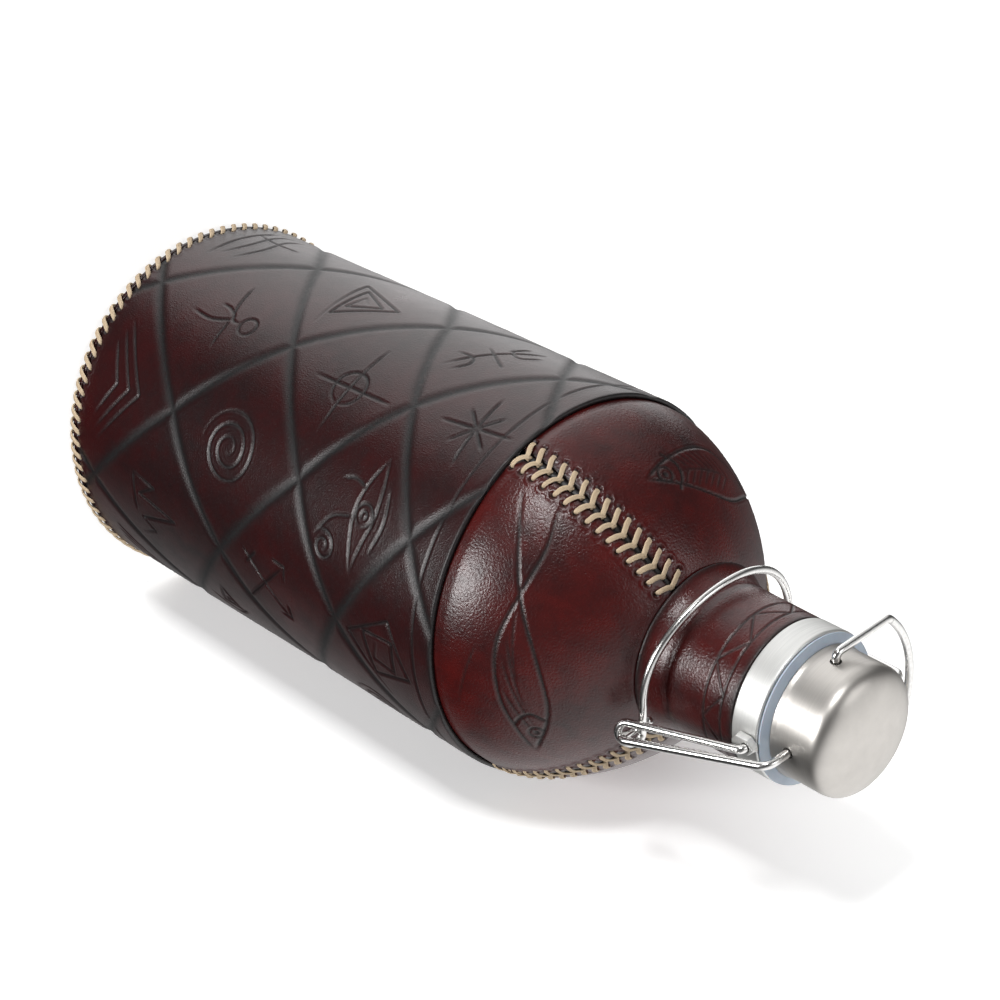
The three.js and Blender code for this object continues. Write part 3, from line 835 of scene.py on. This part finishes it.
def fish(skin, start):
    """A plain fish of two crossing arcs, with an eye, a gill line and fin strokes."""
    mark = PanelMark(skin, start, 88, 216.2, 8.2)
    back = [(0.0, -1.9), (0.12, -1.2), (0.3, -0.35), (0.5, 0.5), (0.7, 0.88), (0.85, 0.7), (1.0, 0.0)]
    belly = [(-0.03, -0.6), (0.12, -0.22), (0.3, -0.35), (0.5, -0.68), (0.7, -0.55), (0.85, -0.25), (1, 0)]
    mark.line(back, taper=(0.15, 0.05))
    mark.line(belly, taper=(0.15, 0.05))
    mark.line([(0.82, 0.72), (0.785, 0.35), (0.80, 0.0), (0.84, -0.28)])
    for k in range(4):
        share = 0.36 + 0.1 * k
        fin = [(share, -0.32 - 0.05 * k), (share + 0.30, 0.05 + 0.17 * k)]
        mark.stroke(fin, 0.28, 0.34, (0.2, 0.3), 0.7)
    mark.eye(0.885, 0.34, 2.2, 0.5)


def leaf(skin, start):
    """A long leaf with a midrib, slanted veins and a plain head."""
    mark = PanelMark(skin, start, 74, 219.8, 6.2)
    upper = [(0.0, -1.7), (0.16, -0.25), (0.4, 1.05), (0.6, 1.15), (0.8, 0.7), (1.0, 0.0)]
    lower = [(0.0, 1.1), (0.16, 0.1), (0.4, -1.0), (0.55, -1.15), (0.8, -0.6), (1.0, 0.0)]
    mark.line(upper, taper=(0.1, 0.05))
    mark.line(lower, taper=(0.1, 0.05))
    mark.line([(0.84, 0.8), (0.79, 0.3), (0.79, -0.3), (0.84, -0.75)])
    mark.stroke([(0.42, 0.0), (0.78, 0.1)], 0.3, 0.36, (0.2, 0.2), 0.7)
    for k in range(7):
        root = 0.42 + 0.05 * k
        for side in (-1, 1):
            mark.stroke([(root, 0.05 * side), (root + 0.09, side * 0.85)], 0.26, 0.3, (0.1, 0.3), 0.65)
    mark.eye(0.885, 0.1, 2.5, 0.5)


def make_panel(number, seam):
    inner = PANEL.points - PANEL.normal * PANEL_THICK
    inner = inner[PANEL.points[:, 1] > SLEEVE_TOP_Z + 1.5][::4][::-1]
    bore = JACKET_R - SLEEVE_THICK
    inside = np.concatenate([inner, [(bore, SLEEVE_TOP_Z - 3.5), (bore, HEM_FOOT_Z)]])
    start, end = seam, seam + 120
    middle_r = 55.0
    half_gap = math.degrees(SEAM_GAP / 2 / middle_r)
    skin = Skin(PANEL, inside, start + half_gap, end - half_gap, seed=number + 10)
    if number == 1:
        fish(skin, -60)
        stray = [(azimuth, float(PANEL.along_at(z))) for azimuth, z in ((-15.5, 205.3), (9, 198.4))]
        skin.cut(stray, 0.2, 0.3, taper=(0.2, 0.4), tone=0.6)
    elif number == 2:
        fish(skin, 66)
    else:
        leaf(skin, -166)
    for end_of_lace in lace_ends(*SHOULDER_LACES):
        z = np.interp(end_of_lace, SHOULDER.distance, SHOULDER.points[:, 1])
        along = float(PANEL.along_at(z))
        out = math.degrees((LACE_HOLE_OUT + 0.3) / float(PANEL.radius(along)))
        skin.hole(start + out, along)
        skin.hole(end - out, along)
    nodes = [f"shoulder_panel_{number}"]
    return skin.build(f"shoulder_leather_{number}", PANEL_LEATHER, nodes)


def make_backing(number, seam):
    """The black strip that shows between the panels, crowned and slightly wrinkled."""
    along = np.linspace(1.0, SHOULDER.length - 0.3, 120)
    across = np.linspace(-1, 1, 9)
    crown = -0.55 - 0.35 * across**2
    ripple = 0.10 * np.sin(along * 1.7)[:, None]
    angle = math.radians(seam) + across[None, :] * 1.15 / SHOULDER.radius(along)[:, None]
    top = SHOULDER.place(along[:, None], angle, crown[None, :] + ripple)
    under = SHOULDER.place(along[:, None], angle[:, ::-1], -1.9 + 0 * ripple)
    grid = np.concatenate([top, under], 1)
    rows, cols = grid.shape[:2]
    faces = grid_faces(rows, cols, False, True)
    faces += [list(range(cols)), list(range((rows - 1) * cols, rows * cols))]
    return new_piece(f"seam_strip_{number}", grid.reshape(-1, 3), faces, BLACK_LEATHER, "bottle",
                     [f"seam_backing_{number}"])


# ---- The neck ----

NECK_CURVE = [(NECK_FOOT_R, 241.1), (26.3, 243.2), (25.1, 246.2), (NECK_R, 250.6), (24.1, 255)]
NECK = Outline(smooth([*NECK_CURVE, (23.8, NECK_TOP_Z)]), 0.3)
ZIGZAG_TURN = 42.4  # degrees between its peaks


def make_neck():
    """The neck leather with a skirt over the panels, a zigzag border and one slow crease."""
    bore = NECK_STEEL_R + 0.5
    inside = np.array([(bore, NECK_TOP_Z), (bore, 251), (bore + 1, 245.5), (25.4, 241.1)])
    half_gap = math.degrees(SEAM_GAP / 2 / NECK_GAP_R)
    ends = BACK_SEAM + half_gap - 360, BACK_SEAM - half_gap
    skin = Skin(NECK, inside, *ends, step=0.4, corner=0.7, edge=1.5, seed=5)
    upper, lower = NECK.along_at(270.9), NECK.along_at(264.5)
    skin.cut_round(upper, 12, 0.34, 0.32, tone=1.0)
    skin.cut_round(lower, 12, 0.34, 0.32, tone=1.0)
    for k in range(-4, 4):
        peak = FACING - 20 + ZIGZAG_TURN * k
        for foot in (peak - ZIGZAG_TURN / 2, peak + ZIGZAG_TURN / 2):
            skin.cut([(peak, upper), (foot, lower)], 0.34, 0.30, tone=0.9)
    skin.cut_round(NECK.along_at(250.2), 12, 0.22, 1.0, tone=0.12)
    for end_of_lace in lace_ends(*NECK_LACES):
        skin.seam_holes(float(NECK.along_at(NECK_LACES_Z + end_of_lace)), NECK_R)
    return skin.build("neck_leather", PANEL_LEATHER, ["neck_wrap"])


# ---- Lacing ----

def cords_piece(name, cords, stands_for):
    """Joins flat cords, each (points, ups, width, thickness), into one piece with its fibre coordinates."""
    all_points, all_faces, strands, middles, painted_end_shade = [], [], [], [], []
    sides = 14
    for number, (path, ups, width, thick) in enumerate(cords):
        points, faces = tube(path, ups, width, thick, sides)
        first = sum(len(p) for p in all_points)
        all_points.append(points)
        all_faces += [[i + first for i in face] for face in faces]
        rings = len(points) // sides
        share = np.repeat(np.linspace(0, 1, rings), sides)
        angle = np.tile(np.arange(sides) / sides * 2 * math.pi, rings)
        apart = np.full(len(share), number * 1.3)
        strands.append(np.stack([share + number * 3.7, np.cos(angle), apart], -1))
        middles.append(np.clip(np.sin(angle), 0, 1) ** 3 * np.sin(share * math.pi))
        # painted shade: about the last ninth at each end of a cord, where it enters the leather, is marked
        # for darkening
        painted_end_shade.append(np.clip(np.abs(share - 0.5) * 2 - 0.78, 0, 1) / 0.22)
    piece = new_piece(name, np.concatenate(all_points), all_faces, LACE, "bottle", stands_for)
    set_vector(piece, "strand", np.concatenate(strands))
    set_value(piece, "middle", np.concatenate(middles))
    set_value(piece, "root", np.concatenate(painted_end_shade))
    return piece


V_MIDDLE = 0.95  # from a stitch's start to the middle of its V


def seam_cords(outline, azimuth, start, count, pitch):
    """V stitches over a seam: each arm leaves a hole, lies over the leather and dives into the seam."""
    cords = []
    for k in range(count):
        for side in (-1, 1):
            jitter = rng.uniform(-0.12, 0.12, 3)
            shape = smooth([
                (-1.5 + jitter[0], 5.1, -0.8),
                (-1.55 + jitter[0], 4.75, 0.10),
                (-1.35 + jitter[0], 4.0, 0.55),
                (-0.95 + jitter[1], 2.7, 0.80),
                (-0.30 + jitter[1], 1.4, 0.70),
                (0.55, 0.35 * side, 0.30),
                (1.30, -0.55, -0.55),
            ], 4)
            along = start + V_MIDDLE + k * pitch + shape[:, 0]
            angle = math.radians(azimuth) + side * shape[:, 1] / outline.radius(along)
            height = shape[:, 2] + (0.08 if side > 0 else 0)
            path = outline.place(along, angle, height)
            ups = outline.up(along, angle)
            ends = np.sin(np.linspace(0, math.pi, len(path))) ** 0.35
            cords.append((path, ups, 1.0 + 0.62 * ends + jitter[2], 0.5 + 0.15 * ends))
    return cords


WHIP_LEAN = 6.5  # how far a stitch runs along the rim


def whip_cords():
    """Slanted stitches over the base rim, from a hole in the sleeve round to the underside."""
    cords = []
    profile = smooth([
        (62.5, HOLE_Z + 0.1), (63.5, HOLE_Z - 0.1), (64.0, HOLE_Z - 1.0), (64.15, 2.9), (64.0, 1.6),
        (63.3, 0.85), (61.6, 0.75), (59.8, 0.72), (58.6, 1.1),
    ], 4)
    run = directions(profile)
    share = np.linspace(0, 1, len(profile))
    for k in range(BASE_STITCHES):
        wobble = rng.uniform(-0.15, 0.15)
        sideways = wobble * np.sin(share * math.pi) - WHIP_LEAN * share
        angle = math.radians(base_stitch_azimuth(k)) + sideways / JACKET_R
        path = about_axis(profile[:, 0], profile[:, 1], angle)
        ups = about_axis(-run[:, 1], run[:, 0], angle)
        ends = np.sin(np.linspace(0, math.pi, len(path))) ** 0.4
        cords.append((path, ups, 1.0 + 0.8 * ends, 0.7 + 0.2 * ends))
    return cords


# ---- Steel ----

def make_bottle():
    """The steel inside the leather: a thin wall with a rounded foot, shoulder and neck."""
    side = JACKET_R - SLEEVE_THICK - 0.35
    bend_z = SLEEVE_TOP_Z - 12
    wall = 1.0
    shoulder = Outline(shoulder_curve(40))
    steel = (shoulder.points - shoulder.normal * (PANEL_THICK + 0.5))[::4]
    outside = [(side, 6.5), (side, bend_z), *steel[:-3], (25.0, 238.3), (22.4, 239.8)]
    outside += [(NECK_STEEL_R, 242.5), (NECK_STEEL_R, MOUTH_Z - 0.5)]
    inside = [(NECK_STEEL_R - wall, MOUTH_Z - 0.5), (NECK_STEEL_R - wall, 242), (24.5, 237.2)]
    inside += [*(steel[:-4][::-1] - 0.8), (side - wall, bend_z), (side - wall, 8)]
    floor_in = [(side - 6, 5.2), (0, 8.2)]
    floor_out = [(0, 7.2), (side - 6, 4.0), (side - 2, 4.0)]
    return turned("steel_bottle", floor_out + outside + inside + floor_in, DARK_STEEL, "bottle",
                  ["steel_body", "steel_shoulder", "steel_neck", "steel_base"], step=3.0)


def make_mouth_ring():
    low = RING_LOW[2]
    bore = NECK_STEEL_R + 0.3
    r, top = MOUTH_R, MOUTH_Z
    outline = rounded([(bore, low, 0.2), (r, low, 0.35), (r, top, 0.9), (bore, top, 0.4)])
    return turned("steel_mouth_ring", outline, RING_STEEL, "bottle", ["mouth_ring"])


def modified(piece):
    """Applies the piece's modifiers."""
    bpy.context.view_layer.update()
    shaped = piece.evaluated_get(bpy.context.evaluated_depsgraph_get())
    piece.data = bpy.data.meshes.new_from_object(shaped)
    piece.modifiers.clear()


def drill(piece, radius, places):
    """Bores round holes; places are (centre, direction, length)."""
    for centre, direction, length in places:
        bit = bmesh.new()
        size = dict(radius1=radius * MM, radius2=radius * MM, depth=length * MM)
        bmesh.ops.create_cone(bit, cap_ends=True, segments=48, **size)
        mesh = bpy.data.meshes.new("bit")
        bit.to_mesh(mesh)
        bit.free()
        tool = add_object("bit", mesh)
        turned_to = Vector(direction).to_track_quat("Z", "Y").to_matrix().to_4x4()
        tool.matrix_world = Matrix.Translation(Vector(centre) * MM) @ turned_to
        bore = piece.modifiers.new("bore", "BOOLEAN")
        bore.object = tool
        bore.solver = "EXACT"
        modified(piece)
        bpy.data.objects.remove(tool)


def sharpen(piece, degrees=35):
    """Keeps crisp edges crisp and the rest smooth."""
    shape = bmesh.new()
    shape.from_mesh(piece.data)
    for edge in shape.edges:
        if len(edge.link_faces) == 2 and edge.calc_face_angle(0) > math.radians(degrees):
            edge.smooth = False
    shape.to_mesh(piece.data)
    shape.free()


def make_lug(name, side):
    """An angular steel block beside the ring, bored for the lever's end."""
    low, high = box_mm(name)
    inner_x, outer_x = (low[0], high[0]) if side > 0 else (high[0], low[0])
    half, foot, top = high[1], low[2], high[2]
    corners = []
    for x, tuck, narrowing in ((inner_x, 0.0, 1), (outer_x, 0.9, 0.88)):
        foot_half, top_half = half - 1.4 - tuck, half - 2.0 - tuck
        section = [(-half, foot + 1.6), (-foot_half, foot), (foot_half, foot), (half, foot + 1.6)]
        section += [(half, top - 2.2), (top_half, top), (-top_half, top), (-half, top - 2.2)]
        corners += [(x, y * narrowing, z) for y, z in section]
    faces = grid_faces(2, 8, False, True) + [list(range(8)), list(range(8, 16))]
    piece = new_piece(f"steel_{name}", corners, faces, RING_STEEL, "bottle", [name])
    bevel = piece.modifiers.new("bevel", "BEVEL")
    bevel.width = 0.28 * MM
    bevel.segments = 3
    bevel.limit_method = "ANGLE"
    modified(piece)
    drill(piece, WIRE_R + 0.3, [((inner_x + outer_x, 0, LUG_PIVOT[2]), (1, 0, 0), 4 * abs(inner_x))])
    sharpen(piece, 30)
    return piece


# ---- Stopper ----

def make_cap():
    """A domed steel cap with a slightly flared rim, bored for the bail and the finger loop."""
    bottom, top = CAP_LOW[2], CAP_HIGH[2]
    angle = np.linspace(0, math.pi / 2, 25)
    across, rise = np.cos(angle) ** (2 / 2.6), np.sin(angle) ** (2 / 2.6)
    across[-1] = 0
    dome = np.stack([CAP_R * across, CAP_EDGE_Z + (top - CAP_EDGE_Z) * rise], -1)
    inner_r = CAP_R - CAP_WALL
    lining = np.stack([inner_r * across, CAP_EDGE_Z + (top - CAP_EDGE_Z - CAP_WALL) * rise], -1)
    flare = CAP_R + 0.45
    rim = [(inner_r, bottom), (flare, bottom), (flare, bottom + 0.35)]
    rim += [(CAP_R + 0.1, bottom + 1.2), (CAP_R, bottom + 2.5)]
    outline = np.concatenate([lining[::-1], rim, dome])
    cap = turned("cap", outline, CAP_STEEL, "cap", ["cap_shell"], segments=160)
    z = CAP_PIVOT[2]
    drill(cap, WIRE_R + 0.5, [((0, 0, z), (1, 0, 0), 60), ((0, 0, z), (0, 1, 0), 60)])
    sharpen(cap, 50)
    return cap


def make_cap_core():
    """The plastic that fills the cap and holds its wires."""
    r = CAP_R - CAP_WALL - 0.3
    bottom, top = CAP_LOW[2] + 0.3, CAP_EDGE_Z + 2.5
    outline = rounded([
        (0, bottom, 0), (r, bottom, 0.6), (r, CAP_EDGE_Z, 0.5), (r - 3, top, 0.5), (0, top, 0),
    ], closed=False)
    core = turned("cap_plug", outline, PLASTIC, "cap", ["cap_core"], segments=96)
    z = CAP_PIVOT[2]
    drill(core, WIRE_R + 0.35, [((0, 0, z), (1, 0, 0), 60)])
    drill(core, WIRE_R + 0.35, [((0, side * LOOP_LEG_Y, z), (0, 1, 0), 14) for side in (-1, 1)])
    sharpen(core, 40)
    return core


def make_gasket():
    low, top = GASKET_LOW[2], GASKET_HIGH[2]
    hole, outer = RETAINER_R - 1.5, GASKET_HIGH[0]
    outline = rounded([
        (hole, low, 0.2), (outer - 0.1, low, 0.3), (outer, low + 0.6, 0.2),
        (CAP_R + 0.7, top + 0.25, 0.1), (hole, top, 0.2),
    ])
    return turned("silicone_gasket", outline, SILICONE, "cap", ["gasket"])


def make_retainer():
    low, top = RETAINER_LOW[2], RETAINER_HIGH[2]
    r, dish, step = RETAINER_R, low + 1.2, GASKET_LOW[2] - 0.3
    neck = r - 1.8
    outline = rounded([
        (0, dish, 0), (r - 5, dish, 0.5), (r - 4, low, 0.4), (r - 1, low, 0.5), (r, low + 1, 0.4),
        (r, step, 0.3), (neck, step, 0.1), (neck, top, 0.1), (0, top, 0),
    ], closed=False)
    return turned("gasket_holder", outline, PLASTIC, "cap", ["gasket_retainer"], segments=96)


def both_sides(half):
    """A path from its middle's +X half and that half mirrored. The half starts at its free end."""
    mirror = half[::-1] * (-1, 1, 1)
    return np.concatenate([half, mirror[1:]])


def make_lever():
    """A pin in each lug, its leg, an eye of three quarters of a turn, and the handle round the front."""
    eye_y, eye_z = EYE_PIVOT[1], EYE_PIVOT[2]
    coil_r, coil_out, coil_in = 3.4, 36.4, 33.0
    turn = np.linspace(0, 1, 40)
    angle = math.pi + 1.5 * math.pi * turn
    across = (coil_out - coil_in) * (0.5 - turn)
    coil = np.stack([across, coil_r * np.cos(angle), coil_r * np.sin(angle)], -1)
    tilt = Matrix.Rotation(math.radians(COIL_TILT), 3, Vector((0, -0.78, -0.62)))
    coil = coil @ np.array(tilt).T + ((coil_out + coil_in) / 2, eye_y, eye_z)
    pin = (MOUTH_R + 0.8, 0, LUG_PIVOT[2], 0)
    leg = rounded([pin, (28.1, 0, LUG_PIVOT[2], 1.8), (*coil[0], 0)], closed=False, steps=10)
    sweep = np.linspace(0, math.pi / 2, 40)
    handle = np.stack([31.4 * np.cos(sweep), -28.5 * np.sin(sweep), 248 + 4 * np.sin(sweep) ** 2], -1)
    half = np.concatenate([leg[:-1], coil, handle])
    return wire_piece("closing_lever", both_sides(half), "lever", "lever_wire")


def make_bail():
    """The wire through the cap, with an end hooked into each of the lever's eyes."""
    eye_y, eye_z = EYE_PIVOT[1], EYE_PIVOT[2]
    half = rounded([
        (29.9, eye_y - 3.6, eye_z + 3.6, 0), (29.9, eye_y, eye_z, 1.5), (39.2, eye_y, eye_z, 2),
        (29.0, 0, CAP_PIVOT[2], 4), (0, 0, CAP_PIVOT[2], 0),
    ], closed=False, steps=10)
    return wire_piece("bail", both_sides(half), "bail", "bail_wire")


def make_loop():
    """The finger loop: two straight legs from holes in the cap, joined by an arc."""
    z = CAP_PIVOT[2]
    corner_x, corner_y, arc_r = -22.3, 23.5, 32.4
    first = math.atan2(corner_y, corner_x)
    turns = np.linspace(first, 2 * math.pi - first, 48)[1:-1]
    path = rounded([
        (0, 16.5, z, 0), (0, LOOP_LEG_Y, z, 2.2), (corner_x, corner_y, z, 3.5),
        *((arc_r * math.cos(a), arc_r * math.sin(a), z, 0) for a in turns),
        (corner_x, -corner_y, z, 3.5), (0, -LOOP_LEG_Y, z, 2.2), (0, -16.5, z, 0),
    ], closed=False, steps=8)
    return wire_piece("pull_ring", path, "finger_loop", "finger_loop")


def make_base():
    """The leather disc under the bottle, its rim thinned for the stitches."""
    top = box_mm("leather_base")[1][2]
    flat_r, rise = 56.5, 1.4
    outline = rounded([
        (0, 0, 0), (flat_r, 0, 1.0), (flat_r + 1.6, rise, 0.8), (JACKET_R, rise, 0.7),
        (JACKET_R, top, 0.6), (0, top, 0),
    ], closed=False)
    return turned("base_leather", outline, SLEEVE_LEATHER, "bottle", ["leather_base"], 180)


# ---- The object ----

def make_lacings():
    """The stitches of the sleeve's, the neck's and the base rim's seams."""
    wall = Outline([(JACKET_R, 0), (JACKET_R, SLEEVE_TOP_Z)])
    collar = Outline([(25, NECK_LACES_Z), (24.3, 250.6), (24.1, 255), (23.9, NECK_TOP_Z)])
    cords_piece("sleeve_stitches", seam_cords(wall, BACK_SEAM, *SLEEVE_LACES), ["sleeve_lacing"])
    cords_piece("neck_stitches", seam_cords(collar, BACK_SEAM, *NECK_LACES), ["neck_lacing"])
    cords_piece("base_stitches", whip_cords(), ["base_lacing"])


make_bottle()
make_base()
make_sleeve()
for number, seam in enumerate(SEAMS, 1):
    make_panel(number, seam)
    make_backing(number, seam)
    cords = seam_cords(SHOULDER, seam, *SHOULDER_LACES)
    cords_piece(f"shoulder_stitches_{number}", cords, [f"shoulder_lacing_{number}"])
make_neck()
make_lacings()
make_mouth_ring()
make_lug("lug_right", 1)
make_lug("lug_left", -1)
make_cap()
make_cap_core()
make_gasket()
make_retainer()
make_lever()
make_bail()
make_loop()


# ---- Camera ----

CAMERA_AT = Vector((0.4103, -0.4103, 0.6469))
CAMERA_RIGHT = Vector((-0.73607, 0.07495, 0.67274))
CAMERA_UP = Vector((-0.40094, -0.84902, -0.34410))

camera_data = bpy.data.cameras.new("camera")
camera_data.lens = 85.2
camera_data.sensor_width = 36
camera = add_object("camera", camera_data)
turn = Matrix((CAMERA_RIGHT, CAMERA_UP, CAMERA_RIGHT.cross(CAMERA_UP))).transposed()
camera.matrix_world = Matrix.Translation(CAMERA_AT) @ turn.to_4x4()
bpy.context.scene.camera = camera


# ---- Stage: a pale floor and a pale sheet behind the bottle ----

def paper(name, share, glow):
    """White paper that only the camera sees, from the front: it catches shadows and blocks no light."""
    material = bpy.data.materials.new(name)
    material.use_nodes = True
    tree = material.node_tree
    tree.nodes.clear()
    diffuse = node(tree, "BsdfDiffuse", (share, share, share, 1))
    lit = node(tree, "AddShader", diffuse, node(tree, "Emission", (1, 1, 1, 1), glow))
    seen = node(tree, "LightPath").outputs["Is Camera Ray"]
    behind = node(tree, "NewGeometry").outputs["Backfacing"]
    shown = maths(tree, "SUBTRACT", seen, behind, clamp=True)
    chosen = node(tree, "MixShader", shown, node(tree, "BsdfTransparent"), lit)
    node(tree, "OutputMaterial", chosen)
    return material


def sheet(name, centre, normal, reach, material):
    """A flat square that reaches out from a centre, facing along the normal."""
    normal = Vector(normal).normalized()
    side = normal.orthogonal().normalized()
    other = normal.cross(side)
    signs = ((-1, -1), (1, -1), (1, 1), (-1, 1))
    corners = [Vector(centre) + (side * a + other * b) * reach for a, b in signs]
    mesh = bpy.data.meshes.new(name)
    mesh.from_pydata([tuple(c) for c in corners], [], [(0, 1, 2, 3)])
    mesh.materials.append(material)
    add_object(name, mesh)


SHEET_AZIMUTH = math.radians(84.2)  # the bottle lies against the sheet along this side
SHEET_REACH = 3.0
outward = Vector((math.cos(SHEET_AZIMUTH), math.sin(SHEET_AZIMUTH), 0))
backdrop_at = outward * (JACKET_R * MM + 0.0015) + Vector((0, 0, 0.15))
sheet("floor", (0, 0, 0), (0, 0, 1), SHEET_REACH, paper("floor_paper", 0.5, 0.75))
sheet("backdrop", backdrop_at, -outward, SHEET_REACH, paper("backdrop_paper", 1.15, 0.25))


# ---- Lights ----

def towards(azimuth, elevation):
    """The direction at an azimuth and an elevation in degrees."""
    a, e = math.radians(azimuth), math.radians(elevation)
    return Vector((math.cos(a) * math.cos(e), math.sin(a) * math.cos(e), math.sin(e)))


def softbox(name, azimuth, elevation, distance, size, watts, aim=(0, 0, 0.16)):
    """A rectangular lamp at an azimuth, an elevation and a distance from the aim point, facing it."""
    direction = towards(azimuth, elevation)
    data = bpy.data.lights.new(name, "AREA")
    data.shape = "RECTANGLE"
    data.size, data.size_y = size
    data.energy = watts
    lamp = add_object(name, data)
    lamp.location = Vector(aim) + direction * distance
    lamp.rotation_mode = "QUATERNION"
    lamp.rotation_quaternion = direction.to_track_quat("Z", "Y")
    lamp.visible_camera = False


softbox("far_bank", -136, -45, 1.0, (1.8, 0.8), 6.5)
softbox("key", -20, -14, 0.9, (0.28, 0.28), 6.4, aim=(0, 0, 0.2))
softbox("top", -75, 8, 1.0, (0.21, 0.21), 5.0, aim=(0, 0, 0.2))
softbox("neck_side", -122, 62, 1.0, (0.5, 0.4), 1.5)


def patch(tree, direction, outer, inner, low, high):
    """A soft round patch of sky: high inside the inner angle from a direction, low past the outer one."""
    sky = node(tree, "TexCoord").outputs["Generated"]
    facing = node(tree, "VectorMath", sky, tuple(direction), operation="DOT_PRODUCT").outputs["Value"]
    edges = math.cos(math.radians(outer)), math.cos(math.radians(inner))
    return node(tree, "MapRange", facing, *edges, low, high, interpolation_type="SMOOTHSTEP")


world = bpy.data.worlds.new("studio")
world.use_nodes = True
bpy.context.scene.world = world
tree = world.node_tree
tree.nodes.clear()
table = patch(tree, towards(104, 36), 80, 25, 0.07, 1.3)
shade = patch(tree, towards(35, -45), 65, 20, 1.0, 0.05)
glint = patch(tree, towards(105, -45), 45, 10, 0.0, 0.3)
wall = patch(tree, towards(-125, -15), 35, 10, 0.0, 0.7)
room = maths(tree, "MULTIPLY_ADD", table, shade)
feed(tree, room.inputs[2], maths(tree, "ADD", glint, wall))
seen = node(tree, "LightPath").outputs["Is Camera Ray"]
background = node(tree, "Background", (1, 1, 1, 1), maths(tree, "MAXIMUM", room, seen))
node(tree, "OutputWorld", background)
bpy.context.scene.view_settings.view_transform = "Standard"
